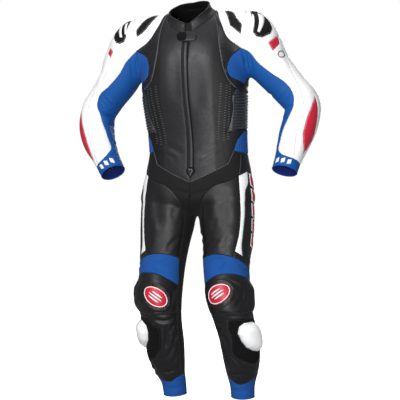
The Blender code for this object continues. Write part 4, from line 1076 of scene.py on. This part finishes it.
def wall(p, out, tris, inner, outer):
    """A closed wall over some triangles, between two distances out from the form."""
    sides = set()
    for a, b, c in tris.tolist():
        sides.update(((a, b), (b, c), (c, a)))
    rim = [edge for edge in sides if edge[::-1] not in sides]
    rim.sort()
    inset = {}
    for a, b in rim:
        way = np.cross(out[a] + out[b], p[b] - p[a])
        way /= np.linalg.norm(way)
        for v in (a, b):
            inset.setdefault(v, []).append(way)
    used, again = np.unique(tris, return_inverse=True)
    again = again.reshape(tris.shape)
    at = {v: i for i, v in enumerate(used.tolist())}
    base = p[used].copy()
    for v, ways in inset.items():
        if len(ways) != 2:
            raise ValueError("a piece touches itself at a point")
        base[at[v]] += (ways[0] + ways[1]) / max(1 + ways[0] @ ways[1], 0.15) * SEAM_GAP / 2
    n = len(used)
    verts = np.concatenate([base + out[used] * inner[used][:, None], base + out[used] * outer[used][:, None]])
    faces = (again + n).tolist() + again[:, ::-1].tolist()
    flat_from = len(faces)
    for a, b in rim:
        i, j = at[a], at[b]
        faces += [(j + n, i + n, i), (j + n, i, j)]
    return verts, faces, len(tris), flat_from


def pieces(panel, pads):
    """The walls of a panel and of everything set into it or sewn on it."""
    lift = swell(panel.p, pads)
    raised = RAISED[panel.name](panel) if panel.name in RAISED else 0
    edge = np.min([panel.seam] + [reach_to(panel.p, line, True)[0]
                                  for line in panel.points[1:1 + len(panel.loops)]], axis=0)
    roll = SEAM_SINK * np.clip(1 - edge / SEAM_ROLL, 0, 1) ** 2
    puff = panel.puff * np.sin(np.clip(edge / PUFF_REACH, 0, 1) * np.pi / 2)
    top = np.maximum(lift + panel.wall + raised + puff + creases(panel) - roll, DEEPEST)
    bottom = np.minimum(lift, top - THINNEST)
    left = np.ones(len(panel.tris), bool)
    for _, way, _, loop in panel.loops:
        if way == "cut":
            left &= ~within(loop, panel.centres)
    tris = panel.tris[left]
    yield panel.name, panel.finish, tris, wall(panel.p, panel.out, tris, bottom, top)
    for (name, way, finish, loop), line in zip(panel.loops, panel.points[1:]):
        tris = panel.tris[within(loop, panel.centres)]
        inner = bottom if way == "cut" else top + SEAM_GAP
        outer = top if way == "cut" else inner + thickness(finish)
        if name == "slider_puck":
            inside = np.where(within(loop, panel.spots), reach_to(panel.p, line, True)[0], 0)
            outer = outer + PUCK_DOME * (1 - (1 - np.clip(inside / PUCK_EDGE, 0, 1)) ** 2)
        yield name, finish, tris, wall(panel.p, panel.out, tris, inner, outer)
        covered = np.unique(tris)
        top = top.copy()
        top[covered] = outer[covered]
    panel.top = top


def fill(rim, step):
    """Even points inside a flat rim, after the rim's own."""
    inside = hex_grid(rim, step)
    inside = inside[within(rim, inside) & (reach_to(inside, rim, True)[0] > 0.5 * step)]
    return np.concatenate([rim, inside])


def even_rim(rim):
    """A closed flat rim in short stretches."""
    rim = np.array(rim, float)
    return even(np.concatenate([rim, rim[:1]]), PATCH_STEP)[:-1]


def on_front(flat):
    """Points of the form under distances out from the middle of the front, and heights."""
    return place([("F", x, z) for x, z in flat], 1)


def spread(flat, tris):
    """Twice the area of flat triangles."""
    a, b, c = flat[tris].transpose(1, 0, 2)
    return np.abs((b - a)[:, 0] * (c - a)[:, 1] - (b - a)[:, 1] * (c - a)[:, 0])


def net(rim, step, on_form):
    """Even points inside a flat rim, laid on the form, the way out there and the triangles."""
    flat = fill(rim, step)
    p = on_form(flat)
    out = slope(p, SOFT_REACH)[0]
    tris = triangulate(flat, [(i, (i + 1) % len(rim)) for i in range(len(rim))], rim, "a patch")
    tris = tris[spread(flat, tris) > SLIVER]
    return flat, p, out, face_out(tris, p, out)


def closure_tab(rim, lift, thick):
    """The closure tab across the zip, or its pad, on its own even points over the form."""
    rim = np.array(rim, float)
    for _ in range(3):
        after = np.roll(rim, -1, axis=0)
        rim = np.stack([0.75 * rim + 0.25 * after, 0.25 * rim + 0.75 * after], 1).reshape(-1, 2)
    rim = even_rim(rim)
    flat, p, out, tris = net(rim, TAB_STEP, on_front)
    roll = 0.5 * np.clip(1 - reach_to(flat, rim, True)[0] / 4, 0, 1) ** 2
    lift = np.full(len(p), lift)
    return wall(p, out, tris, lift, lift + thick * (1 - roll))


# ---- finishes
def linear(code):
    """An sRGB hex colour as linear light."""
    parts = [int(code[i:i + 2], 16) / 255 for i in (1, 3, 5)]
    return (*(c / 12.92 if c <= 0.04045 else ((c + 0.055) / 1.055) ** 2.4 for c in parts), 1.0)


def wire(node, inputs):
    """Gives a node's inputs, each a value or another node's output."""
    for key, value in inputs.items():
        if isinstance(value, bpy.types.NodeSocket):
            node.id_data.links.new(value, node.inputs[key])
        else:
            node.inputs[key].default_value = value


def add(tree, kind, inputs=None, out=0, **settings):
    """One output of a new node with its settings and its inputs."""
    node = tree.nodes.new("ShaderNode" + kind)
    for key, value in settings.items():
        setattr(node, key, value)
    wire(node, inputs or {})
    return node.outputs[out]


def start(name):
    """A new material with its shader, and the place on the suit in metres."""
    made = bpy.data.materials.new(name)
    made.use_nodes = True
    tree = made.node_tree
    return made, tree, tree.nodes["Principled BSDF"], add(tree, "TexCoord", out="Object")


def leather(name, face, deep, roughness, grain, coat=0.0, holes=0.0, shine=0.5):
    """Cowhide, drum-dyed and finish-coated: a soft sheen broken by a pebbled grain and by
    slow drifts of colour where the hide is thicker. Grain is in millimetres, drawn about
    twice its real 1 mm so that it shows. Holes is the pitch of punched perforation."""
    made, tree, shader, spot = start(name)
    drift = add(tree, "TexNoise", {"Vector": spot, "Scale": 9.0, "Detail": 4.0, "Roughness": 0.6})
    fine = add(tree, "TexNoise", {"Vector": spot, "Scale": 1 / (6 * grain * MM), "Detail": 3.0})
    pebble = add(tree, "TexVoronoi", {"Vector": spot, "Scale": 1 / (grain * MM)}, feature="SMOOTH_F1")
    tone = add(tree, "MixRGB", {"Fac": drift, "Color1": linear(deep), "Color2": linear(face)})
    gloss = add(tree, "MapRange", {"Value": fine, "To Min": roughness - 0.07, "To Max": roughness + 0.09})
    low = add(tree, "Bump", {"Height": pebble, "Strength": 0.25, "Distance": 0.0004})
    high = add(tree, "Bump", {"Height": fine, "Strength": 0.4, "Distance": 0.0012, "Normal": low})
    if holes:
        tone, gloss = punch(tree, spot, tone, gloss, holes)
    wire(shader, {"Base Color": tone, "Roughness": gloss, "Normal": high, "Specular IOR Level": shine,
                  "Coat Weight": coat, "Coat Roughness": 0.35})
    return made


def punch(tree, spot, tone, gloss, pitch):
    """Perforation over the front: a dark dot at each place, drawn coarser than
    the real 3 mm. Away from the middle the leather is painted darker, as shade where the front turns from the
    light, and is made duller."""
    across = add(tree, "SeparateXYZ", {"Vector": spot})
    off = add(tree, "Math", {0: across, 1: UNSHADED_AT * MM}, operation="SUBTRACT")
    off = add(tree, "Math", {0: off}, operation="ABSOLUTE")
    beside = add(tree, "MapRange", {"Value": off, "From Min": (UNSHADED_HALF - 7) * MM,
                                    "From Max": (UNSHADED_HALF + 5) * MM})
    # Painted shade: the front's sides are drawn darker where they turn away from the light
    side_shade = add(tree, "MixRGB", {"Fac": beside, "Color1": tone, "Color2": linear("#101012")})
    dull = add(tree, "MapRange", {"Value": beside, "To Max": 0.16})
    dots = add(tree, "TexVoronoi", {"Vector": spot, "Scale": 1 / (pitch * MM), "Randomness": 0.0})
    hole = add(tree, "MapRange", {"Value": dots, "From Min": 0.2, "From Max": 0.3, "To Min": 0.35,
                                  "To Max": 1.0})
    return (add(tree, "MixRGB", {"Fac": hole, "Color1": linear("#0a0a0b"), "Color2": side_shade}),
            add(tree, "Math", {0: gloss, 1: dull}))


def stretch(name, face, deep, roughness, spacing, sheen=0.02):
    """Woven aramid stretch cloth: matt, with a fine twill whose threads catch a little
    sheen. Their spacing is in millimetres, drawn coarser than the real 0.6 mm."""
    made, tree, shader, spot = start(name)
    turned = add(tree, "Mapping", {"Vector": spot, "Rotation": (0.0, math.radians(38), 0.0)})
    twill = add(tree, "TexWave", {"Vector": turned, "Scale": 1 / (spacing * MM * 6.283), "Distortion": 0.6,
                                  "Detail": 1.0}, "Fac")
    drift = add(tree, "TexNoise", {"Vector": spot, "Scale": 14.0, "Detail": 3.0})
    tone = add(tree, "MixRGB", {"Fac": drift, "Color1": linear(deep), "Color2": linear(face)})
    bump = add(tree, "Bump", {"Height": twill, "Strength": 0.35, "Distance": 0.0006})
    wire(shader, {"Base Color": tone, "Normal": bump, "Roughness": roughness, "Specular IOR Level": 0.25,
                  "Sheen Weight": sheen, "Sheen Roughness": 0.5})
    return made


def thread(name, colour):
    """Bonded polyester thread: a tight twist with a small even sheen."""
    made, tree, shader, spot = start(name)
    twist = add(tree, "TexWave", {"Vector": spot, "Scale": 160.0, "Distortion": 1.0}, "Fac")
    light = linear(colour)
    dark = (*(0.75 * part for part in light[:3]), 1.0)
    wire(shader, {"Base Color": add(tree, "MixRGB", {"Fac": twist, "Color1": light, "Color2": dark}),
                  "Roughness": 0.55})
    return made


UNSHADED_HALF = 94.0           # half width of the lit middle of the front panels; past it the leather is painted darker as shade
UNSHADED_AT = 8.0         # its middle, a little to the suit's left

FINISHES = {
    "black_leather": leather("black_cowhide", "#19191b", "#111113", 0.43, 2.2, shine=0.38),
    # Perforated black cowhide: its face is drawn lighter than the other black cowhide as a painted sheen of
    # the lit chest
    "perforated_leather": leather("black_perforated_cowhide", "#252528", "#1b1b1e", 0.42, 2.2, holes=5.0,
                                  shine=0.36),
    "white_leather": leather("white_cowhide", "#f8f8f8", "#f1f1f2", 0.42, 2.4),
    "blue_leather": leather("blue_cowhide", "#17559f", "#124a8e", 0.56, 2.4, shine=0.16),
    "red_leather": leather("red_cowhide", "#cc1c38", "#bb1630", 0.42, 2.4),
    "badge_leather": leather("red_badge_cowhide", "#c8203a", "#b81831", 0.40, 2.4),
    "black_stretch": stretch("black_aramid_stretch", "#171718", "#101011", 0.82, 1.6),
    "blue_stretch": stretch("blue_aramid_stretch", "#16529c", "#114589", 0.85, 1.6),
    "hook_pad": stretch("black_hook_and_loop", "#070708", "#040405", 0.95, 2.5, sheen=0.0),
    "zip_tape": stretch("black_zip_tape", "#0f0f11", "#0a0a0b", 0.75, 1.2),
    "puck_nylon": leather("white_moulded_nylon", "#fbfbfb", "#f5f5f6", 0.34, 9.0),
    # Black mesh lining, its colour pushed to near-black: partly the cloth's own black, partly painted shade
    # inside the suit
    "lining": stretch("black_mesh_lining", "#030304", "#020202", 0.95, 3.0),
    "cuff_lining": stretch("blue_mesh_lining", "#1d2f86", "#15246c", 0.9, 3.0),
    "white_print": leather("white_printed_film", "#f2f2f4", "#e6e6ea", 0.5, 3.0),
    "grey_piping": leather("grey_piping_leather", "#66666a", "#4c4c50", 0.38, 2.0),
    "guard_leather": leather("black_guard_cowhide", "#1f1f22", "#161618", 0.42, 2.2, shine=0.4),
    "dull_leather": leather("black_matt_cowhide", "#101011", "#0b0b0c", 0.62, 2.2, shine=0.18),
    # Pale grey leather on the crests of the black ribs and on the dashes beside them, and pale blue on the
    # crests of the blue ribs: painted highlights
    "rib_welt": leather("grey_painted_highlight_leather", "#66666a", "#515155", 0.34, 2.2, shine=0.6),
    "blue_welt": leather("blue_painted_highlight_leather", "#3a78cc", "#2d68b8", 0.5, 2.2),
    # Ribbed black leather of the sides; its face is drawn lighter than the other black leather as a painted
    # sheen where the ribs catch the light
    "rib_stretch": leather("black_ribbed_leather", "#2a2a2c", "#1c1c1e", 0.36, 2.2, shine=0.55),
    "black_gloss": leather("black_glazed_leather", "#161618", "#0e0e10", 0.22, 3.0, coat=0.5),
    "zip_metal": thread("black_oxide_zip_teeth", "#3a3a3d"),
    "black_thread": thread("black_bonded_thread", "#4a4a4e"),
    "white_thread": thread("white_bonded_thread", "#dcdcde"),
    "blue_thread": thread("blue_bonded_thread", "#2a63b8"),
}


# ---- stitches and trims
STITCH_IN = 3.0          # distance of a row of stitches from the seam
STITCH_HALF = 2.1        # half length of a stitch; the rows of points are a stitch apart
STITCH_WIDE = 0.5
STITCH_STEPS = (3, 11)   # stitches are left out where the points of a row bunch up or part
TOOTH = (2.2, 1.1, 1.2)  # half length, half width and height of a zip tooth
WELT = (1.0, 1.1)        # half width and height of a rib's welt
DASH = (1.2, 1.4)        # half width and height of a dash beside the ribs
# Thread of the topstitching on a panel, by its finish
THREADS = {"black_leather": "black_thread", "perforated_leather": "black_thread",
           "white_leather": "white_thread", "blue_leather": "blue_thread", "blue_stretch": "blue_thread"}


def lift_at(panel, spots):
    """How far a panel's outer face stands off the form near some places."""
    if not hasattr(panel, "tree"):
        panel.tree = KDTree(len(panel.p))
        for i, spot in enumerate(panel.p):
            panel.tree.insert(spot, i)
        panel.tree.balance()
    lift = np.empty(len(spots))
    for i, spot in enumerate(spots):
        near = panel.tree.find_n(spot, 3)
        pull = np.array([1 / (far + 0.05) for _, _, far in near])
        lift[i] = pull @ panel.top[[j for _, j, _ in near]] / pull.sum()
    return lift


def on_top(panel, spots, above=0.0):
    """Places of the form lifted to a panel's outer face, and the way out of it there."""
    out = slope(spots, SOFT_REACH)[0]
    return spots + out * (lift_at(panel, spots) + above)[:, None], out


def merge(parts):
    """Several small forms as one."""
    verts, faces, at = [], [], 0
    for points, rows, *_ in parts:
        verts.append(points)
        faces += [tuple(v + at for v in row) for row in rows]
        at += len(points)
    return np.concatenate(verts), faces, len(faces), len(faces)


def cord(line, out, radius, closed=False, sides=6):
    """A round cord along a line of points."""
    count = len(line)
    way = np.roll(line, -1, axis=0) - np.roll(line, 1, axis=0) if closed else np.gradient(line, axis=0)
    side = unit(np.cross(out, way))
    turn = np.arange(sides) * 2 * np.pi / sides
    ring = np.cos(turn)[None, :, None] * out[:, None] + np.sin(turn)[None, :, None] * side[:, None]
    last = range(sides * count - 1, sides * (count - 1) - 1, -1)
    faces = [] if closed else [tuple(range(sides)), tuple(last)]
    for i in range(count if closed else count - 1):
        here, there = i * sides, (i + 1) % count * sides
        for j in range(sides):
            k = (j + 1) % sides
            faces.append((here + j, there + j, there + k, here + k))
    return (line[:, None] + radius * ring).reshape(-1, 3), faces, len(faces), len(faces)


def cut_out(panel, rim, on_form, above, thick):
    """A flat cut-out sewn or printed on a panel, on its own even points."""
    _, p, out, tris = net(rim, PATCH_STEP, on_form)
    lift = lift_at(panel, p) + above
    verts, faces, *_ = wall(p, out, tris, lift, lift + thick)
    return verts, faces, len(faces), len(tris)


def beads(p, out, way, half, wide, high):
    """Small pointed bars, one at each place, lying along a way: stitches, teeth, ridges."""
    way = unit(way)
    side = np.cross(out, way)
    verts = np.stack([p - way * half, p + way * half, p - side * wide - way * half * 0.6,
                      p - side * wide + way * half * 0.6, p + side * wide + way * half * 0.6,
                      p + side * wide - way * half * 0.6, p + out * high - way * half * 0.6,
                      p + out * high + way * half * 0.6], 1)
    shape = [(0, 6, 2), (0, 5, 6), (2, 6, 7), (2, 7, 3), (5, 4, 7), (5, 7, 6), (1, 3, 7), (1, 7, 4),
             (0, 2, 3), (0, 3, 1), (0, 1, 4), (0, 4, 5)]
    faces = [tuple(8 * i + k for k in face) for i in range(len(p)) for face in shape]
    return verts.reshape(-1, 3), faces, len(faces), len(faces)


def stitch(panel):
    """Rows of topstitching inside a panel's seams and round what is set into it."""
    if panel.finish not in THREADS:
        return
    starts, ends = [], []
    for i, line in enumerate(panel.points[:1 + len(panel.loops)]):
        for away in (-STITCH_IN, STITCH_IN):
            spots = panel.beside(line, away)
            keep = within(panel.flat[0], panel.read_flat(spots))
            keep &= reach_to(spots, panel.points[0], True)[0] > 0.8 * STITCH_IN
            if not i and keep.mean() < 0.5:
                continue
            after = np.roll(spots, -1, axis=0)
            step = np.linalg.norm(after - spots, axis=1)
            keep &= np.roll(keep, -1) & (step > STITCH_STEPS[0]) & (step < STITCH_STEPS[1])
            starts.append(spots[keep])
            ends.append(after[keep])
    starts, ends = np.concatenate(starts), np.concatenate(ends)
    p, out = on_top(panel, (starts + ends) / 2, -0.1)
    add_piece(panel.name + panel.tail + "_stitches", panel.slot, THREADS[panel.finish],
              beads(p, out, ends - starts, STITCH_HALF, STITCH_WIDE, STITCH_WIDE))


def slanted(a, h, wide, long, lean):
    """A slanted bar as an outline: middle, half width in degrees, half height, lean."""
    return [(a - wide, h - long + lean), (a + wide, h - long - lean), (a + wide, h + long - lean),
            (a - wide, h + long + lean)]


THIGH_BARS = (-572, -625, -678, -731, -784)             # heights of the bars on the left thigh

# What is printed or sewn on: plain bars and rings, and the pale fins between the gills of
# the shoulders. The name of a panel ends in its side where the other side has none.
PRINTS = [
    # name, panel, finish, how far above the panel, thickness, outlines
    ("thigh_bars_edge", "thigh_outer_l", "white_leather", 0.1, 0.4,
     [slanted(92, h, 15, 22, 9) for h in THIGH_BARS]),
    ("thigh_bars", "thigh_outer_l", "red_leather", 0.6, 0.4,
     [slanted(92, h, 12.4, 17.5, 8) for h in THIGH_BARS]),
    ("cuff_bars", "wrist_cuff", "white_print", 0.1, 0.3, [slanted(a, 735, 9, 9, 3) for a in (-38, -8, 22)]),
    *(("badge_bars", "knee_cup" + TAILS[side], "white_leather", 0.2, 0.5,
       [badge(side, 25 - 6 * abs(k), 2.4, k) for k in (-1, 0, 1)]) for side in TAILS),
    ("cup_window", "knee_cup", "black_stretch", 0.1, 0.7,
     [[(27, -936), (48, -938), (52, -962), (46, -984), (30, -998), (24, -984), (31, -960)]]),
    ("gill_fins", "sleeve_front_l", "white_leather", 0.2, 1.2,
     [[(56, 181), (54, 187), (23, 208), (22, 203)], [(64, 190), (73, 199), (29, 226), (26, 219)]]),
    ("gill_fins", "sleeve_front_r", "white_leather", 0.2, 1.2,
     [[(60, 180), (60, 186), (28, 197), (26, 192)], [(66, 191), (68, 199), (32, 211), (27, 206)]]),
]
RINGS = [
    # name, panel, finish, radius of the cord, oval
    *(("badge_ring", "knee_cup" + TAILS[side], "white_leather", 1.7, badge(side, 42, 26)) for side in TAILS),
    ("sleeve_ring", "sleeve_front_l", "black_leather", 1.5, ("oval", 55, 325, 14, 14, 0)),
]
CORDS = read_rows("""
# name, panel it lies on, finish, radius, how high its middle lies, junctions along it
princess_piping front_panel grey_piping 1.1 0.5 neck_princess chest_low
rib_piping front_panel dull_leather 1.1 0.3 chest_low rib_low waist_high
hip_piping front_panel grey_piping 0.9 0.4 waist_low hip_front vee_tip
collar_binding collar black_leather 2.6 0.2 collar_low collar_top collar_back
collar_piping collar black_leather 1.6 0.5 collar_low neck_princess neck_yoke neck_back back_neck
wrist_seam wrist_cuff blue_leather 0.9 -0.7 wrist_back wrist_hem
ankle_seam ankle_cuff blue_stretch 0.9 -0.7 ankle_back ankle_hem
wrist_binding wrist_cuff blue_leather 1.8 0.2 wrist_hem wrist_hem
ankle_binding ankle_cuff blue_stretch 1.8 0.2 ankle_hem ankle_hem
""")
DASHES = [
    # panel, first and last height, pitch, angles of the columns at both, half length
    ("front_panel_l", -236, -428, 8.5, [(51, 49), (57.5, 56), (61, 61)], 5.0),
    ("front_panel_r", -240, -436, 8.5, [(47, 46), (54.5, 54), (60, 60)], 5.0),
]
CORD_STEP = 5.0          # spacing of points along a cord
CREST_STEP = 3.0         # degrees from one bar of a rib's welt to the next
TEETH_X = -8.0           # the zip's teeth run a little to the right of the middle
TEETH_SPAN = (-94, -520)                # heights between which they run
TEETH_PITCH = 3.4        # drawn a little coarser than the real 2.5
# The leather guard beside the teeth, a dark sheet as painted shade in the gap under the closure tab,
# and the leather end: finish, how far above the zip strip, thickness, and the outline as distances out and
# heights
ZIP_PARTS = {
    "zip_guard": ("guard_leather", 0.3, 1.5, [(-5.5, -92), (9.5, -92), (9.5, -524), (-5.5, -524)]),
    # Painted shade: a dark sheet where the gap under the tab lies in shadow
    "zip_slit_shade": ("lining", 0.1, 0.4,
                 [(-9.2, -15), (-2.6, -15), (-2.4, -30), (-3.2, -48), (-8.6, -48), (-9.6, -30)]),
    "zip_end": ("black_gloss", 1.9, 1.2,
                [(-9, -522), (-2, -528), (9, -524), (12, -533), (5, -548), (0, -561), (-5, -548),
                 (-12, -534)]),
}


def prints(panel):
    """Flat shapes and rings printed or sewn on a panel."""
    for name, on, finish, above, thick, outlines in PRINTS:
        if panel.owns(on):
            rims = [panel.lay(*inlay_outline(row, panel.radius, PATCH_STEP)) for row in outlines]
            made = merge([cut_out(panel, rim, panel.on_form, above, thick) for rim in rims])
            add_piece(name + panel.tail, panel.slot, finish, made)
    for name, on, finish, radius, outline in RINGS:
        if panel.owns(on):
            spots = place_chart(panel.kind, panel.side, *inlay_outline(outline, panel.radius))
            p, out = on_top(panel, spots, 0.1)
            add_piece(name + panel.tail, panel.slot, finish, cord(p, out, radius, True))


def cords(panel, edges):
    """Piping, bindings and rolled seams along a panel's edges."""
    for name, on, finish, radius, above, *names in CORDS:
        for side in panel.sides if on == panel.name else ():
            keys = keys_of(names, side)
            line = np.concatenate([edges[ends] for ends in zip(keys[:-1], keys[1:])])
            line = even(line[np.r_[True, steps_of(line) > 0.5]], CORD_STEP)
            closed = keys[0] == keys[-1]
            p, out = on_top(panel, line[:-1] if closed else line, float(above))
            add_piece(name + TAILS[side], panel.slot, finish, cord(p, out, float(radius), closed))


def dashes(panel):
    """Short raised bars in columns beside the ribs, coloured pale grey as a painted highlight."""
    for on, top, low, pitch, columns, half in DASHES:
        if panel.owns(on):
            heights = np.arange(top, low, -pitch)
            share = (heights - top) / (low - top)
            turn = np.concatenate([a + (b - a) * share for a, b in columns])
            height = np.concatenate([heights - i % 2 * pitch / 2 for i in range(len(columns))])
            p, out = on_top(panel, place_chart("T", panel.side, turn, height), -0.2)
            made = beads(p, out, np.cross(out, [0, 0, 1.0]), half, *DASH)
            add_piece("rib_dashes" + panel.tail, panel.slot, "rib_welt", made)


def crests(panel):
    """Fine welts along the tops of the ribs, coloured paler than the ribs as a painted highlight where they
    catch the light.
    """
    top, low, drop, inner, outer, pitch, *_ = RIBS[panel.name]
    lean = drop / (outer - inner)
    spots = [(a, top - (k + 0.5) * pitch - lean * (outer - a))
             for k in range(-4, int((top - low) / pitch) + 5)
             for a in np.arange(inner - 3, outer + 3, CREST_STEP)]
    turn, height = np.array(spots).T
    inside = within(panel.flat[0], panel.lay(panel.near(turn), height))
    p, out = on_top(panel, place_chart("T", panel.side, turn[inside], height[inside]), -0.15)
    way = panel.side * np.cross([0, 0, 1.0], out) + [0, 0, lean / math.radians(panel.radius)]
    half = 0.52 * math.radians(CREST_STEP) * panel.radius
    finish = "rib_welt" if panel.name == "side_rib" else "blue_welt"
    add_piece(panel.name + "_crest_highlights" + panel.tail, panel.slot, finish, beads(p, out, way, half, *WELT))


def zip_parts(panel):
    """Teeth, the guard beside them and the leather end under them."""
    spots = on_front([(TEETH_X, z) for z in np.arange(*TEETH_SPAN, -TEETH_PITCH)])
    p, out = on_top(panel, spots, -0.3)
    way = np.tile([1.0, 0, 0], (len(p), 1))
    add_piece("zip_teeth", panel.slot, "zip_metal", beads(p, out, way, *TOOTH))
    for name, (finish, above, thick, outline) in ZIP_PARTS.items():
        add_piece(name, panel.slot, finish, cut_out(panel, even_rim(outline), on_front, above, thick))


def trim(panel, edges):
    """What is sewn or printed on a panel."""
    prints(panel)
    cords(panel, edges)
    dashes(panel)
    if panel.name == "front_zip":
        zip_parts(panel)
    if panel.name in RIBS:
        crests(panel)


# ---- build
CUT_SPARE = 1.005        # a cut with the maker's spare round it, as a share


def cut_size(panel, tris, area):
    """Width and length of about the smallest rectangle that a flat piece is cut from. A bent
    piece nests with the next one, so its share is at most three times its area."""
    flat = panel.spots[np.unique(tris)] - panel.spots.mean(0)
    flat = flat * math.sqrt(area / (spread(panel.spots, tris).sum() / 2))
    best = np.full(2, np.inf)
    for lean in np.radians(np.arange(0, 90, 3)):
        turned = flat @ np.array([[np.cos(lean), -np.sin(lean)], [np.sin(lean), np.cos(lean)]])
        sides = turned.max(0) - turned.min(0)
        if sides.prod() < best.prod():
            best = sides * CUT_SPARE
    return sorted((best * min(1, math.sqrt(3 * area / best.prod()))).tolist())


def declare(panel, tris):
    """Works out the width and length of the cut that a piece of cloth was sewn from; nothing uses them."""
    a, b, c = panel.p[tris].transpose(1, 0, 2)
    area = np.linalg.norm(np.cross(b - a, c - a), axis=1).sum() / 2
    wide, long = cut_size(panel, tris, area)


def add_piece(name, slot, finish, made):
    """A piece from its points, its faces, and where its inner and its flat edge faces start."""
    verts, faces, inner_from, flat_from = made
    mesh = bpy.data.meshes.new(name)
    mesh.from_pydata((verts * MM).tolist(), [], faces)
    smooth = np.arange(len(faces)) < flat_from
    mesh.polygons.foreach_set("use_smooth", smooth)
    mesh.materials.append(FINISHES[finish])
    mesh.materials.append(FINISHES["cuff_lining" if name.startswith("wrist") else "lining"])
    inside = (np.arange(len(faces)) >= inner_from) & smooth
    mesh.polygons.foreach_set("material_index", inside.astype(np.int32))
    mesh.update()
    piece = bpy.data.objects.new(name, mesh)
    bpy.context.scene.collection.objects.link(piece)
    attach(piece, "root")
    return piece


def dress():
    """Builds every piece of the suit."""
    edges = sew()
    pads = swell_lines()
    for row in PANELS:
        for side in (1,) if row[0] in CENTRE else TAILS:
            panel = Panel(row, side, edges)
            for name, finish, tris, made in pieces(panel, pads):
                piece = add_piece(name + panel.tail + "_cloth", SLOTS.get(finish, finish), finish, made)
                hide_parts(name + panel.tail)
                if finish != "puck_nylon":
                    declare(panel, tris)
            stitch(panel)
            trim(panel, edges)
    tab = add_piece("collar_tab_cloth", "black_leather", "perforated_leather",
                    closure_tab(TAB_EDGES, TAB_LIFT, LEATHER))
    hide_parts("collar_tab")
    pad = closure_tab(TAB_PAD, TAB_LIFT + LEATHER + 0.1, TAB_PAD_WALL)
    add_piece("collar_tab_pad", "black_leather", "hook_pad", pad)


# ---- camera, light
VIEW_AIM = (0.0312, 0.0, -0.6363)        # where the camera looks
VIEW_TURN = 16.0                         # how far round to the suit's left it stands
VIEW_FAR = 4.5
VIEW_WIDE = 1.414                        # width of the view at the suit
LIT_SPOT = (0.0, 0.0, -0.6)              # where the lamps look
SOFTBOXES = {
    # place, size, power
    "key_softbox": ((-0.5, -3.3, 1.2), 1.5, 90),
    "fill_softbox": ((0.9, -2.9, -1.2), 1.7, 60),
    "top_softbox": ((0.2, 0.4, 2.6), 2.2, 34),
    "back_softbox": ((-0.6, 3.2, 0.8), 2.4, 75),
}
FLOOR_HALF = 9.0
FLOOR_DROP = 0.02                        # how far the floor lies under the suit's hems


def stand(name, data, spot=(0, 0, 0), look=None):
    """A camera, a lamp or the floor at a place, turned to look at a spot."""
    thing = bpy.data.objects.new(name, data)
    thing.location = spot
    if look:
        thing.rotation_mode = "QUATERNION"
        thing.rotation_quaternion = (Vector(look) - thing.location).to_track_quat("-Z", "Y")
    bpy.context.scene.collection.objects.link(thing)
    return thing


def studio():
    """Camera, soft lamps, pale surroundings and floor."""
    turn = math.radians(VIEW_TURN)
    lens = bpy.data.cameras.new("camera")
    lens.lens = lens.sensor_width * VIEW_FAR / VIEW_WIDE
    spot = Vector(VIEW_AIM) + VIEW_FAR * Vector((math.sin(turn), -math.cos(turn), 0))
    bpy.context.scene.camera = stand("camera", lens, spot, VIEW_AIM)
    for name, (spot, size, power) in SOFTBOXES.items():
        lamp = bpy.data.lights.new(name, "AREA")
        lamp.shape = "SQUARE"
        lamp.size = size
        lamp.energy = power
        stand(name, lamp, spot, LIT_SPOT)
    world = bpy.data.worlds.new("studio")
    bpy.context.scene.world = world
    world.use_nodes = True
    tree = world.node_tree
    seen = add(tree, "LightPath", out="Is Camera Ray")
    wire(tree.nodes["Background"], {"Color": add(tree, "MixRGB", {
        "Fac": seen, "Color1": (0.25, 0.253, 0.258, 1), "Color2": (1.0, 1.0, 1.0, 1)})})
    bpy.context.scene.view_settings.view_transform = "Standard"
    floor = bpy.data.meshes.new("studio_floor")
    corners = [(x * FLOOR_HALF, y * FLOOR_HALF, CAD_BOX[0].z - FLOOR_DROP)
               for x, y in ((-1, -1), (1, -1), (1, 1), (-1, 1))]
    floor.from_pydata(corners, [], [(0, 1, 2, 3)])
    paper, _, shader, _ = start("pale_studio_paper")
    wire(shader, {"Base Color": linear("#f4f4f4"), "Roughness": 0.95, "Specular IOR Level": 0.1,
                  "Emission Color": linear("#ffffff"), "Emission Strength": 0.85})
    floor.materials.append(paper)
    ground = stand("studio_floor", floor)
    ground.visible_diffuse = ground.visible_glossy = ground.visible_shadow = False


dress()
studio()
